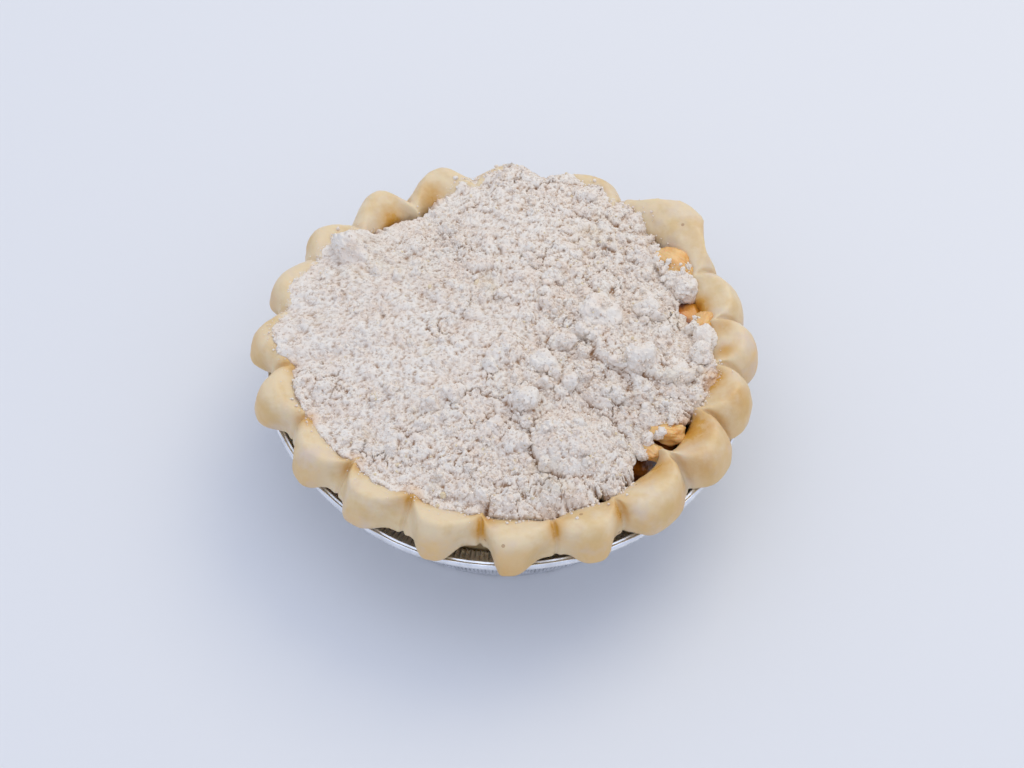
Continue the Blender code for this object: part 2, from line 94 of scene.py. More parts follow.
# One row for each flute of the crust, anticlockwise: the angle of the crease before it, how far out the lip
# stands at that crease, the angle of its crest, how far the crest reaches, how square it is across, how wide
# its foot is as a share of its top, how much higher its lip is than the others', how far the valley before it
# is arched up, in millimetres, and how gently it rises out of its valleys.
FLUTES = np.array((
    (-8.0, 54.6, 0.0, 66.0, 2.3, 1.00, 0.0, 0.0, 0.85),
    (7.5, 55.1, 15.0, 64.8, 2.3, 1.00, -0.2, 0.0, 0.85),
    (24.0, 55.6, 42.0, 69.4, 3.4, 1.00, 1.2, 0.0, 1.0),
    (57.5, 54.4, 66.5, 65.0, 2.2, 0.95, 0.4, 0.0, 1.1),
    (80.0, 55.2, 88.5, 64.6, 2.0, 0.90, 0.2, 0.0, 1.3),
    (99.0, 55.2, 108.0, 64.8, 2.0, 0.90, 1.0, 0.0, 1.5),
    (118.5, 52.8, 125.5, 65.2, 2.0, 0.90, 0.5, 0.0, 1.5),
    (136.0, 54.6, 144.0, 65.9, 2.0, 0.90, 0.2, 0.0, 1.4),
    (152.0, 56.4, 161.5, 66.4, 2.0, 0.85, 0.0, 0.6, 1.4),
    (169.5, 57.0, 177.5, 67.8, 2.1, 0.80, 0.0, 1.4, 1.25),
    (187.5, 56.6, 195.0, 67.2, 2.3, 0.74, 0.2, 1.5, 1.1),
    (205.5, 55.2, 215.5, 65.4, 2.2, 0.60, 0.3, 1.2, 0.95),
    (225.0, 53.0, 232.6, 64.6, 2.1, 0.57, 0.2, 1.3, 0.95),
    (244.5, 53.2, 252.6, 65.2, 1.9, 0.55, 0.0, 1.5, 1.0),
    (263.7, 55.4, 269.8, 67.0, 2.1, 0.57, 0.1, 2.6, 1.0),
    (281.5, 57.4, 290.0, 66.6, 2.4, 0.63, -0.2, 0.4, 0.9),
    (298.5, 56.4, 306.5, 66.0, 3.0, 0.85, -0.1, 0.8, 0.75),
    (319.0, 52.6, 326.5, 66.4, 2.8, 0.95, 0.3, 0.0, 0.8),
    (336.0, 53.6, 344.5, 65.8, 2.3, 1.00, 0.0, 0.0, 0.85),
))
# The flute that is a squarish flap, and how far out its straight sides towards +X and +Y stand.
FLAP = 2
FLAP_SIDE = 53.2
FLAP_BACK = 47.2
# Radius and height of the crust's section: up the lining's outside, over the lip at a crest or at a crease,
# and down the lining's inside.
LINING_OUTSIDE = ((45.8, 1.0), (56.75, 28.9))
CREST = (
    (57.9, 31.3), (64.6, 31.2), (66.8, 32.3), (66.7, 35.4), (65.8, 38.9), (64.2, 41.4),
    (61.8, 42.5), (58.9, 41.9), (56.2, 40.5), (53.9, 38.0), (52.6, 31.6),
)
CREASE = (
    (57.0, 30.6), (60.8, 30.9), (62.0, 31.9), (61.4, 34.6), (59.8, 37.8), (57.5, 40.4),
    (54.8, 41.3), (53.0, 40.5), (52.2, 38.0), (51.9, 35.0), (51.8, 31.5),
)
LINING_INSIDE = ((52.4, 27.5), (43.2, 4.9))
# How far each lip point takes the narrow shape of the flute's foot in place of its top's, and how sharply it
# rises out of the crease.
FOOT = (1.0, 1.0, 1.0, 0.82, 0.55, 0.28, 0.1, 0.0, 0.0, 0.0, 0.0)
RISE = (1.2, 1.25, 1.2, 1.15, 1.08, 1.0, 0.95, 0.95, 1.0, 1.05, 1.1)
# Steps between the section points: few up the lining's outside, which the dish hides, and many after it.
CRUST_STEPS = (2, 1, *([6] * 12))

# Where the crumble ends, all round, as angle, radius and height.
CRUMBLE_EDGE = (
    (0, 52.0, 38.6), (5, 50.6, 38.4), (10, 48.9, 38.2), (16, 48.7, 38.0), (21, 48.4, 38.2), (28, 48.6, 38.6),
    (34, 50.4, 38.8), (39, 53.0, 39.2), (44, 55.6, 40.0), (50, 57.2, 40.6), (57, 57.6, 41.0),
    (66, 58.5, 41.8), (78, 60.8, 43.0), (89, 62.6, 43.4), (99, 57.4, 41.2), (109, 54.6, 40.4),
    (118, 50.6, 39.8), (127, 51.4, 39.8), (134, 54.0, 40.6), (143, 58.6, 42.4), (152, 57.8, 42.0),
    (163, 60.4, 43.0), (171, 59.4, 42.2), (177, 61.4, 43.2), (183, 60.4, 42.6), (188, 56.4, 41.0),
    (195, 57.8, 41.4), (208, 56.4, 40.0), (218, 56.4, 40.0), (226, 55.0, 39.6), (238, 56.0, 39.8),
    (246, 54.8, 39.6),
    (258, 55.4, 39.8), (266, 54.6, 39.6), (272, 55.2, 40.2), (281, 54.8, 40.0), (290, 55.0, 40.0),
    (298, 54.2, 39.8), (303, 53.8, 39.4), (306.5, 52.8, 38.8), (310, 50.4, 38.2), (314, 48.2, 38.2),
    (319, 47.4, 38.4), (324, 47.8, 38.6), (328.5, 50.2, 38.6), (332, 52.4, 38.8), (336, 53.6, 39.0),
    (341, 54.8, 39.2), (348, 55.6, 39.4), (353, 55.2, 39.4), (357, 53.2, 39.0),
)
# Crumble clumps that stand out, as x, y, how far the middle is above the crumble, and radius.
BIG_CLUMPS = (
    (50.6, -4.4, 0.4, 3.3), (44.1, 22.6, 0.4, 2.9), (47.6, 19.8, 0.2, 3.4), (52.0, 1.2, 0.2, 3.8),
    (24.0, 6.0, -2.0, 6.0), (-41.5, 29.0, 0.3, 5.0), (9.0, -12.0, -1.0, 3.8), (34.0, -9.0, -0.8, 4.2),
    (-19.5, -23.0, -0.2, 2.3), (37.0, 9.0, -0.5, 3.4), (43.5, -12.0, -0.4, 3.6), (5.2, -23.2, -0.7, 3.4),
)
# How many places are tried for the middling clumps.
CLUMP_TRIES = 420
# The share of loose crumbs that stray onto the crust, how far out they may lie, and their largest radius.
STRAY_SHARE = 0.05
STRAY_REACH = 64.0
STRAY_RADIUS = 0.55
# Lumps of crumble that lie against the apple pieces, as x, y, z and radius.
HELD_LUMPS = (
    (40.0, 28.4, 40.0, 1.5), (42.0, 24.8, 40.2, 1.5), (46.6, 22.8, 40.2, 1.7),
    (39.8, 32.0, 39.8, 1.5), (48.6, 25.0, 40.4, 1.2), (41.2, 26.4, 40.6, 1.0),
    (49.0, 4.8, 40.2, 1.6), (37.6, -25.0, 39.6, 1.7), (39.0, -28.8, 39.6, 1.4), (42.4, -24.8, 40.0, 1.3),
    (35.8, -30.4, 39.2, 1.5), (34.4, -34.8, 38.6, 1.4),
)
# The apple pieces, as x, y, z, length, width, thickness, and how far they are turned and tilted, in degrees.
APPLE_PIECES = {
    "apple_piece_back": (45.0, 27.0, 39.2, 13.0, 7.6, 5.6, -35.0, 4.0),
    "apple_piece_side": (51.2, 7.4, 38.4, 7.4, 5.4, 4.4, 60.0, 8.0),
    "apple_piece_front": (40.8, -27.4, 38.2, 9.4, 6.0, 5.0, -8.0, 4.0),
    "apple_piece_low": (36.6, -32.4, 36.8, 6.4, 4.2, 3.6, -50.0, 0.0),
}
# A clump half sunk in the crumble at the front, as x, y, its radius and its height.
DOME = (16.0, -34.0, 10.0, 3.4)
# Where syrup has soaked the pastry, as x, y, z, how far it spreads, and how strong it is.
SYRUP = (
    (51.2, 13.0, 37.0, 3.9, 1.5), (54.0, -12.6, 39.0, 4.2, 1.1), (48.4, -28.0, 38.2, 6.0, 1.15),
    (57.0, -3.4, 41.0, 2.6, 0.6), (58.7, -18.4, 41.0, 4.6, 0.6), (49.1, -37.0, 39.0, 4.8, 0.6),
    (-31.6, 43.6, 38.8, 3.8, 0.9), (-6.0, -57.2, 39.6, 3.0, 1.1), (12.4, -57.6, 39.2, 3.2, 1.0),
    (-50.6, -25.4, 40.2, 3.2, 0.9), (-56.3, -7.6, 40.4, 3.0, 0.7), (-23.6, -48.8, 40.2, 3.4, 0.9),
    (27.6, -52.6, 39.6, 3.4, 0.8), (53.6, 36.0, 40.0, 5.0, 0.5), (38.4, -39.6, 39.6, 4.6, 0.7),
    (-38.4, -38.4, 39.6, 3.4, 0.8), (-20.5, 50.4, 40.6, 4.0, 0.7), (56.8, 4.4, 41.4, 2.8, 0.6),
    (0.0, -65.6, 33.6, 4.0, 0.45), (44.0, -46.0, 36.0, 5.0, 0.4), (35.0, -43.0, 39.0, 4.0, 0.6),
)

# The stage: half the floor's side in millimetres, then the lights' sizes and places in metres, and colours.
FLOOR_REACH = 2500.0
WINDOW_SIZE = (0.9, 0.7)
WINDOW_PLACE = (0.52, 0.70, 1.10)
WINDOW_COLOUR = (1.0, 0.86, 0.5)
CEILING_SIZE = 1.6
CEILING_PLACE = (0.0, 0.0, 1.3)
CEILING_COLOUR = (0.8, 0.87, 1.0)
# The camera looks along +Y and down: its angle above the table, its way off its aim in millimetres, its aim,
# and its focal length as a share of the picture's width.
CAMERA_ELEVATION = 53.0
CAMERA_AWAY = 600.0
CAMERA_AIM = (1.4, -9.5, 35.0)
CAMERA_FOCUS = 2300.0 / 1024.0

# Large odd numbers that spread the bits of a cell's coordinates.
SPREADERS = (0x85EBCA6B, 0xC2B2AE35, 0x27D4EB2F)


def linear(red, green, blue):
    """A colour from 0 to 255 as it looks on a screen, turned into amounts of light."""
    shown = np.array((red, green, blue)) / 255.0
    light = np.where(shown <= 0.04045, shown / 12.92, ((shown + 0.055) / 1.055) ** 2.4)
    return tuple(float(amount) for amount in light)


# Noise and relief


def limited(values):
    """Values kept from 0 to 1."""
    return np.clip(values, 0.0, 1.0)


def bell(apart, width):
    """A bell curve: e to the minus square of how far apart, as a share of the width."""
    return np.exp(-((apart / width) ** 2))


def around(out, degrees):
    """The x and y of points some way out at an angle: that way times the angle's cosine and sine."""
    return out * np.cos(np.radians(degrees)), out * np.sin(np.radians(degrees))


def hashed(cells, seed):
    """Numbers from 0 to 1, the same each time, for whole-number cells: the coordinates times large odd
    numbers are joined by exclusive or, with shifts and products between them to spread the bits."""
    mixed = np.full(cells.shape[:-1], (seed * 0x9E3779B1) & 0xFFFFFFFF, np.uint32)
    for axis in range(cells.shape[-1]):
        mixed ^= cells[..., axis].astype(np.int64).astype(np.uint32) * np.uint32(SPREADERS[axis])
        mixed = (mixed ^ (mixed >> np.uint32(15))) * np.uint32(0x2C1B3C6D)
    mixed = (mixed ^ (mixed >> np.uint32(12))) * np.uint32(0x297A2D39)
    return (mixed ^ (mixed >> np.uint32(15))) / 2.0**32


def soft_noise(points, seed):
    """Smooth numbers from -1 to 1: random ones at the corners of unit cells, blended by the smooth step of
    each coordinate's way across the cell."""
    base = np.floor(points)
    part = points - base
    part = part * part * (3.0 - 2.0 * part)
    total = np.zeros(points.shape[:-1])
    for corner in itertools.product((0.0, 1.0), repeat=points.shape[-1]):
        weight = np.prod(np.where(np.array(corner) > 0.5, part, 1.0 - part), axis=-1)
        total += weight * hashed(base + np.array(corner), seed)
    return 2.0 * total - 1.0


def layered_noise(points, seed, layers=3):
    """Soft noise added to itself at twice the fineness and half the height, a few times over."""
    return sum(soft_noise(points * 2.0**layer, seed + layer) * 0.5**layer for layer in range(layers))


def lumps(x, y, size, seed, share):
    """Relief of rounded lumps, 0 to 0.75 high for a cell size of 1. The plane, warped a little by noise, is
    cut into square cells, a share of which hold a lump at a random place, and the relief is the highest of
    the half balls nearby."""
    warp = np.stack([x, y], axis=-1) / size
    x = x + 0.3 * size * layered_noise(warp * 1.3, seed + 11, 2)
    y = y + 0.3 * size * layered_noise(warp * 1.3, seed + 15, 2)
    column, row = np.floor(x / size), np.floor(y / size)
    highest = np.zeros(np.shape(x))
    for along, across in itertools.product((-1.0, 0.0, 1.0), repeat=2):
        cell = np.stack([column + along, row + across], axis=-1)
        centre_x = (cell[..., 0] + hashed(cell, seed)) * size
        centre_y = (cell[..., 1] + hashed(cell, seed + 1)) * size
        radius = size * (0.3 + 0.45 * hashed(cell, seed + 2))
        reach = 1.0 - ((x - centre_x) ** 2 + (y - centre_y) ** 2) / radius**2
        held = (hashed(cell, seed + 3) < share) & (reach > 0.0)
        highest = np.maximum(highest, np.where(held, radius * np.sqrt(limited(reach)), 0.0))
    return highest


def round_table(column, degrees):
    """A column of the crumble's edge, read smoothly between its rows: the smooth step of the way across."""
    stops = np.array([row[0] for row in CRUMBLE_EDGE], float)
    values = np.array([row[column] for row in CRUMBLE_EDGE], float)
    turned = np.mod(degrees, 360.0)
    before = np.searchsorted(stops, turned, side="right") - 1
    after = (before + 1) % len(stops)
    t = (turned - stops[before]) / np.mod(stops[after] - stops[before], 360.0)
    t = t * t * (3.0 - 2.0 * t)
    return values[before] + (values[after] - values[before]) * t


# The crust's and the crumble's surfaces


def flute_way(degrees):
    """Which flute each angle is in, and how far through it: 0 at its crease, 0.5 at its crest and 1 at the
    next crease."""
    first = FLUTES[0, 0]
    turned = np.mod(np.asarray(degrees, float) - first, 360.0) + first
    index = np.searchsorted(FLUTES[:, 0], turned + 1e-6, side="right") - 1
    crease, crest = FLUTES[index, 0], FLUTES[index, 2]
    following = np.append(FLUTES[1:, 0], first + 360.0)[index]
    rising = 0.5 * (turned - crease) / (crest - crease)
    falling = 0.5 + 0.5 * (turned - crest) / (following - crest)
    return index, limited(np.where(turned < crest, rising, falling))


def section_points(degrees):
    """Radius and height of the crust's section points, one row an angle: the crease's blended into the
    crest's by 1 less a power of how far off the crest the angle is, to a power that is larger where the foot
    is narrow. They move with the lip, the reach and the arch, and the flap's stay inside its sides."""
    index, way = flute_way(degrees)
    after = (index + 1) % len(FLUTES)
    off = np.abs(2.0 * way - 1.0)
    lip = FLUTES[index, 1] + (FLUTES[after, 1] - FLUTES[index, 1]) * way
    arch = np.where(way < 0.5, FLUTES[index, 7], FLUTES[after, 7])
    turn = np.radians(degrees)
    wave = sum(height * np.sin(waves * turn + phase) for height, waves, phase in LIP_WAVES)
    on_flap = np.where(index == FLAP, limited((1.0 - off - 0.04) / 0.28), 0.0)
    side, back = FLAP_SIDE / np.maximum(np.cos(turn), 0.1), FLAP_BACK / np.maximum(np.sin(turn), 0.1)
    straight = np.minimum(side, back)
    radii, heights = [], []
    for point, ((crest_r, crest_z), (crease_r, crease_z)) in enumerate(zip(CREST, CREASE)):
        narrow = 1.0 + 13.0 * FOOT[point] ** 2 * (1.0 - FLUTES[index, 5])
        square = FLUTES[index, 4] if point <= LIP_INDEX else 2.4
        square = square + (3.1 - square) * FOOT[point] ** 2
        blend = (1.0 - off**square) ** (RISE[point] * FLUTES[index, 8] * narrow)
        follows_lip = min(max((crease_z - 31.0) / 7.0, 0.0), 1.0)
        follows_reach = 0.0 if point in (0, len(CREST) - 1) else (1.0 if point < LIP_INDEX else 0.5)
        at_crease = crease_r + follows_lip * (lip - LIP_RADIUS) - 0.8 * arch * FOOT[point]
        at_crest = crest_r + follows_reach * (FLUTES[index, 3] - FLUTE_REACH)
        out = at_crease + (at_crest - at_crease) * blend
        radii.append(out - on_flap * np.maximum(out - straight, 0.0))
        lift = follows_lip * (wave + FLUTES[index, 6] * blend) + arch * FOOT[point] * (1.0 - blend)
        heights.append(crease_z + (crest_z - crease_z) * blend + lift)
    even = np.ones(len(off))
    radii = [r * even for r, _ in LINING_OUTSIDE] + radii + [r * even for r, _ in LINING_INSIDE]
    heights = [z * even for _, z in LINING_OUTSIDE] + heights + [z * even for _, z in LINING_INSIDE]
    return np.stack(radii, axis=1), np.stack(heights, axis=1)


def curve_weights(steps):
    """A matrix that carries a row of points to a smooth curve through them, with a number of steps for each
    stretch: a cubic whose slope at each point is half the way between its two neighbours."""
    count = len(steps) + 1
    rows = []
    for start, stretch in enumerate(steps):
        t = np.arange(stretch) / stretch
        weights = np.zeros((stretch, count))
        parts = (
            (start - 1, 0.5 * (-t + 2.0 * t**2 - t**3)), (start, 0.5 * (2.0 - 5.0 * t**2 + 3.0 * t**3)),
            (start + 1, 0.5 * (t + 4.0 * t**2 - 3.0 * t**3)), (start + 2, 0.5 * (-(t**2) + t**3)),
        )
        for place, part in parts:
            weights[:, min(max(place, 0), count - 1)] += part
        rows.append(weights)
    last = np.zeros((1, count))
    last[0, -1] = 1.0
    return np.concatenate([*rows, last])


def crust_rings(degrees):
    """Radius and height of the crust's smooth section at each angle."""
    radii, heights = section_points(degrees)
    weights = curve_weights(CRUST_STEPS)
    return radii @ weights.T, heights @ weights.T


def crust_top(x, y):
    """The height of the crust's upper surface at points: the highest place where its section passes over."""
    degrees, out = np.degrees(np.arctan2(y, x)), np.hypot(x, y)
    radii, heights = crust_rings(degrees)
    start, end = radii[:, :-1], radii[:, 1:]
    share = (out[:, None] - start) / np.where(np.abs(end - start) < 1e-9, 1e-9, end - start)
    height = heights[:, :-1] + (heights[:, 1:] - heights[:, :-1]) * share
    return np.max(np.where((share >= 0.0) & (share <= 1.0), height, 0.0), axis=1)


def crumble_edge(degrees):
    """How far out the crumble goes: its table, kept on top of the lip, with a ragged edge."""
    radii, _ = section_points(degrees)
    limit = radii[:, len(LINING_OUTSIDE) + LIP_INDEX - 1] - 0.4
    plain = np.minimum(round_table(1, degrees), limit)
    place = np.stack(around(1.0, degrees), axis=-1) * 55.0
    return plain + 0.7 * layered_noise(place / 4.0, 301) + 0.55 * layered_noise(place / 1.3, 305) - 0.3


# Angles all round, and the crust's height under the crumble's edge at each.
RING = np.arange(720) * 0.5
RING_TOP = crust_top(*around(crumble_edge(RING), RING))


def edge_height(degrees):
    """The height of the crumble's edge: its table's in the gap, and elsewhere close over the crust."""
    height = round_table(2, degrees)
    under = np.interp(degrees, RING, RING_TOP, period=360.0)
    return np.where(under > CRUMBLE_BASE, np.clip(height, under + 0.05, under + 0.45), height)


def coarseness(x, y):
    """How lumpy the crumble is, from 0.1 for the fine heap on the left to 1 on the right and at the front."""
    place = np.stack([x, y], axis=-1)
    right = 1.0 / (1.0 + np.exp(-(x - 2.0 + 0.15 * (y + 10.0)) / 9.0))
    patches = 0.35 * layered_noise(place / 17.0, 41)
    front = 1.0 / (1.0 + np.exp((y + 28.0) / 6.0))
    return np.clip(0.22 + 0.66 * right + 0.42 * front + patches, 0.1, 1.0)


def dome_height(x, y):
    """The half-sunk clump: 1 less the square of the way out from its middle, to a power that is low, so
    steep, towards the front left, where a groove runs round it, and high, so gentle, to the back right."""
    middle_x, middle_y, radius, height = DOME
    across, along = (x - middle_x) / radius, (y - middle_y) / radius
    inside = limited(1.0 - across**2 - along**2)
    gentle = limited(0.5 + 0.4 * across + 0.3 * along)
    groove = bell(np.hypot(across, along) - 1.04, 0.07) * limited(1.0 - 1.6 * gentle)
    return height * inside ** (0.35 + 1.3 * gentle) * (inside > 0.0) - 1.3 * groove


def crumble_height(x, y):
    """The crumble's surface: a low heap from its edge up to its middle, with slow swells, cracks along the
    lines where soft noise crosses nought, and lumps of four sizes that are larger where it is coarse."""
    shape = np.shape(x)
    x, y = np.ravel(x), np.ravel(y)
    degrees = np.degrees(np.arctan2(y, x))
    place = np.stack([x, y], axis=-1)
    share = np.minimum(np.hypot(x, y) / crumble_edge(degrees), 1.0)
    edge = round_table(2, degrees)
    heap = edge + (CRUMBLE_PEAK - edge) * (1.0 - share**2.2) ** 0.9
    heap += (edge_height(degrees) - edge) * limited((share - 0.94) / 0.05)
    coarse = coarseness(x, y)
    on_dome = np.clip(1.3 - np.hypot(x - DOME[0], y - DOME[1]) / DOME[2], 0.0, 0.3) / 0.3
    coarse = coarse * (1.0 - 0.75 * on_dome)
    rough = 0.7 * layered_noise(place / 14.0, 51) + 0.28 * layered_noise(place / 5.0, 55) + dome_height(x, y)
    rough += 0.42 * lumps(x, y, 8.0, 61, 0.45 * coarse) * coarse
    rough += 0.5 * lumps(x, y, 3.8, 71, 0.25 + 0.35 * coarse) * (0.3 + 0.7 * coarse)
    rough += 0.4 * lumps(x, y, 1.9, 81, 0.5) * (0.1 + 0.9 * coarse)
    rough += lumps(x, y, 0.95, 91, 0.6) * (0.14 + 0.25 * coarse)
    rough += 0.26 * layered_noise(place / 1.6, 97)
    seam = layered_noise(place / 8.0, 111, 4)
    held = limited(soft_noise(place / 9.0, 115) * 2.5 - 0.1)
    rough -= (0.5 + 0.9 * coarse) * held * bell(seam, 0.045)
    rough += 0.22 * soft_noise(place / 0.5, 95)
    return (heap + (rough - 0.9) * np.minimum(1.0, 5.0 * (1.0 - share) + 0.45)).reshape(shape)


def soaked(points):
    """How much syrup has reached points: the most that any place in SYRUP gives, fading as a bell curve."""
    most = np.zeros(len(points))
    for x, y, z, spread, strength in SYRUP:
        apart = np.linalg.norm(points - np.array((x, y, z)), axis=1)
        most = np.maximum(most, strength * bell(apart, spread))
    return most


# Meshes


def fill_mesh(mesh, points, groups):
    """Puts points in millimetres and groups of faces, each with equally many corners, into a mesh."""
    corners = np.concatenate([group.ravel() for group in groups]).astype(np.int32)
    sizes = np.concatenate([np.full(len(group), group.shape[1]) for group in groups])
    mesh.vertices.add(len(points))
    mesh.vertices.foreach_set("co", (np.asarray(points) * MM).astype(np.float32).ravel())
    mesh.loops.add(len(corners))
    mesh.loops.foreach_set("vertex_index", corners)
    mesh.polygons.add(len(sizes))
    mesh.polygons.foreach_set("loop_start", (np.cumsum(sizes) - sizes).astype(np.int32))
    mesh.update(calc_edges=True)
    mesh.validate()


def add_piece(name, points, groups, finish, stands_for=(), fields=None, smooth=True):
    """A piece of the pie, with its place in its mesh, that moves with the one body. Fields are named numbers,
    one a point, that its material reads."""
    mesh = bpy.data.meshes.new(name)
    fill_mesh(mesh, points, groups)
    for label, values in (fields or {}).items():
        layer = mesh.attributes.new(label, "FLOAT", "POINT")
        layer.data.foreach_set("value", np.asarray(values, np.float32).ravel())
    mesh.polygons.foreach_set("use_smooth", np.broadcast_to(smooth, len(mesh.polygons)).copy())
    mesh.materials.append(finish)
    piece = bpy.data.objects.new(name, mesh)
    bpy.context.scene.collection.objects.link(piece)
    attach(piece, "root")
    if stands_for:
        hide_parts(*stands_for)


def ring_faces(columns, rings):
    """Quads between rings of equally many points, that close round the axis."""
    across = np.arange(columns)
    after = (across + 1) % columns
    low = (np.arange(rings - 1) * columns)[:, None]
    high = low + columns
    return np.stack([low + across, low + after, high + after, high + across], -1).reshape(-1, 4)


def cap_faces(columns, first, middle, upwards):
    """Triangles from a ring to its middle point."""
    across = np.arange(columns)
    after = (across + 1) % columns
    one, other = (across, after) if upwards else (after, across)
    return np.stack([first + one, first + other, np.full(columns, middle)], axis=-1)


def turned_grid(radii, heights, degrees):
    """Rings of points from radii and heights that have one row for each angle."""
    return np.stack([*around(radii, degrees[:, None]), heights], axis=-1).transpose(1, 0, 2)


def closed_rings(grid):
    """Faces of rings of points with their two end rings closed, and the points with the two middles added."""
    rings, columns = grid.shape[:2]
    points = np.concatenate([grid.reshape(-1, 3), grid[0].mean(0)[None], grid[-1].mean(0)[None]])
    caps = np.concatenate([
        cap_faces(columns, 0, rings * columns, False),
        cap_faces(columns, (rings - 1) * columns, rings * columns + 1, True),
    ])
    return points, [ring_faces(columns, rings), caps]


def moved_out(grid, amounts):
    """Rings of points moved along their normals, the cross products of the ways along and across them."""
    along = np.roll(grid, -1, axis=1) - np.roll(grid, 1, axis=1)
    normals = np.cross(along, np.gradient(grid, axis=0))
    normals /= np.maximum(np.linalg.norm(normals, axis=-1, keepdims=True), 1e-9)
    return grid + normals * amounts[..., None]


def ball(level):
    """A round of radius 1 made of triangles: an icosahedron, each face split in four a number of times and
    its new points pushed out to the radius."""
    golden = (1.0 + math.sqrt(5.0)) / 2.0
    flat = [(0.0, a, b * golden) for a in (-1.0, 1.0) for b in (-1.0, 1.0)]
    points = np.array([np.roll(p, turn) for turn in range(3) for p in flat])
    near = np.isclose(np.linalg.norm(points[:, None] - points[None], axis=-1), 2.0)
    threes = itertools.combinations(range(12), 3)
    faces = np.array([(a, b, c) for a, b, c in threes if near[a, b] and near[b, c] and near[a, c]])
    inwards = np.linalg.det(points[faces]) < 0.0
    faces[inwards] = faces[inwards][:, ::-1]
    points /= np.linalg.norm(points[0])
    for _ in range(level):
        sides = np.sort(faces[:, [[0, 1], [1, 2], [2, 0]]].reshape(-1, 2), axis=1)
        unique, which = np.unique(sides, axis=0, return_inverse=True)
        middles = points[unique].mean(axis=1)
        middles /= np.linalg.norm(middles, axis=1, keepdims=True)
        m = (which.reshape(-1) + len(points)).reshape(-1, 3)
        points = np.concatenate([points, middles])
        faces = np.concatenate([
            np.stack([faces[:, 0], m[:, 0], m[:, 2]], -1), np.stack([faces[:, 1], m[:, 1], m[:, 0]], -1),
            np.stack([faces[:, 2], m[:, 2], m[:, 1]], -1), m,
        ])
    return points, faces


def random_turns(draw, count):
    """Evenly spread random rotations, as matrices, from quaternions drawn from a normal spread."""
    q = draw.normal(size=(count, 4))
    w, x, y, z = (q / np.linalg.norm(q, axis=1, keepdims=True)).T
    return np.stack([
        np.stack([1 - 2 * (y * y + z * z), 2 * (x * y - w * z), 2 * (x * z + w * y)], -1),
        np.stack([2 * (x * y + w * z), 1 - 2 * (x * x + z * z), 2 * (y * z - w * x)], -1),
        np.stack([2 * (x * z - w * y), 2 * (y * z + w * x), 1 - 2 * (x * x + y * y)], -1),
    ], axis=1)


def strewn(level, centres, radii, draw, lump, bumps=1.3, flat=0.25):
    """Points, faces and random tints of uneven crumbs, joined into one mesh: each a round whose points move
    in and out by soft noise of its own, stretched along its three axes and turned at random."""
    points, faces = ball(level)
    count = len(centres)
    own = draw.uniform(0.0, 900.0, (count, 1, 3))
    shape = 1.0 + lump * soft_noise(points[None] * bumps + own, 21)
    if level > 1:
        shape = shape + 0.42 * lump * layered_noise(points[None] * bumps * 2.6 + own, 24)
        shape = shape + 0.20 * lump * layered_noise(points[None] * bumps * 9.0 + own, 28, 2)
    sides = draw.uniform(1.0 - flat, 1.0 + flat, (count, 1, 3))
    crumbs = points[None] * shape[..., None] * sides
    crumbs = np.einsum("nij,nvj->nvi", random_turns(draw, count), crumbs)
    crumbs = crumbs * radii[:, None, None] + centres[:, None, :]
    all_faces = (faces[None] + (np.arange(count) * len(points))[:, None, None]).reshape(-1, 3)
    tints = np.repeat(draw.uniform(0.0, 1.0, count), len(points))
    return crumbs.reshape(-1, 3), all_faces, tints


def clump_rows():
    """The clumps that stand out, more of middling size where the crumble is coarse, and the lumps against the
    apple pieces, as x, y, z and radius."""
    draw = np.random.default_rng(33)
    spread = np.sqrt(draw.uniform(0.0, 0.93, CLUMP_TRIES))
    angle = draw.uniform(0.0, 360.0, CLUMP_TRIES)
    x, y = around(spread * (crumble_edge(angle) - 1.5), angle)
    kept = draw.uniform(0.0, 1.0, CLUMP_TRIES) < 0.48 * coarseness(x, y) ** 1.4
    radius = 1.2 + 1.3 * draw.uniform(0.0, 1.0, CLUMP_TRIES) ** 2.2
    rows = np.concatenate([np.array(BIG_CLUMPS), np.stack([x, y, -0.25 * radius, radius], axis=1)[kept]])
    z = crumble_height(rows[:, 0], rows[:, 1]) + rows[:, 2]
    rows = np.stack([rows[:, 0], rows[:, 1], z, rows[:, 3]], axis=1)
    return np.concatenate([rows, np.array(HELD_LUMPS)])


def heap_top(x, y, clumps):
    """The height of whatever is uppermost at points: the crumble, or a clump's round top."""
    top = crumble_height(x, y)
    for cx, cy, cz, radius in clumps:
        inside = 1.0 - ((x - cx) ** 2 + (y - cy) ** 2) / (0.92 * radius) ** 2
        over = cz + 0.85 * radius * np.sqrt(limited(inside))
        top = np.where(inside > 0.0, np.maximum(top, over), top)
    return top


# Materials

# Colours that the finishes mix in, besides those that the settings give.
CHALKY_DOUGH = linear(214, 194, 182)
YELLOW_DOUGH = linear(214, 176, 108)
DOUGH_SPECK = linear(150, 104, 66)
DEEP_SYRUP = linear(190, 124, 30)
BRIGHT_SYRUP = linear(218, 146, 46)
PALE_FIBRE = linear(240, 200, 150)
FRUIT_FLOUR = linear(226, 214, 203)
SOAKED_CRUMB = linear(220, 164, 96)


def node(tree, kind, links=None, **settings):
    """A node with its settings, and its inputs linked to other nodes' outputs or set to plain values, where a
    colour is three amounts of light."""
    made = tree.nodes.new(kind)
    for label, value in settings.items():
        setattr(made, label, value)
    for label, value in (links or {}).items():
        entry = made.inputs[label]
        if isinstance(value, bpy.types.NodeSocket):
            tree.links.new(value, entry)
        else:
            entry.default_value = (*value, 1.0) if entry.type == "RGBA" else value
    return made


def sums(tree, operation, first, second):
    """One step of arithmetic."""
    return node(tree, "ShaderNodeMath", {0: first, 1: second}, operation=operation).outputs[0]


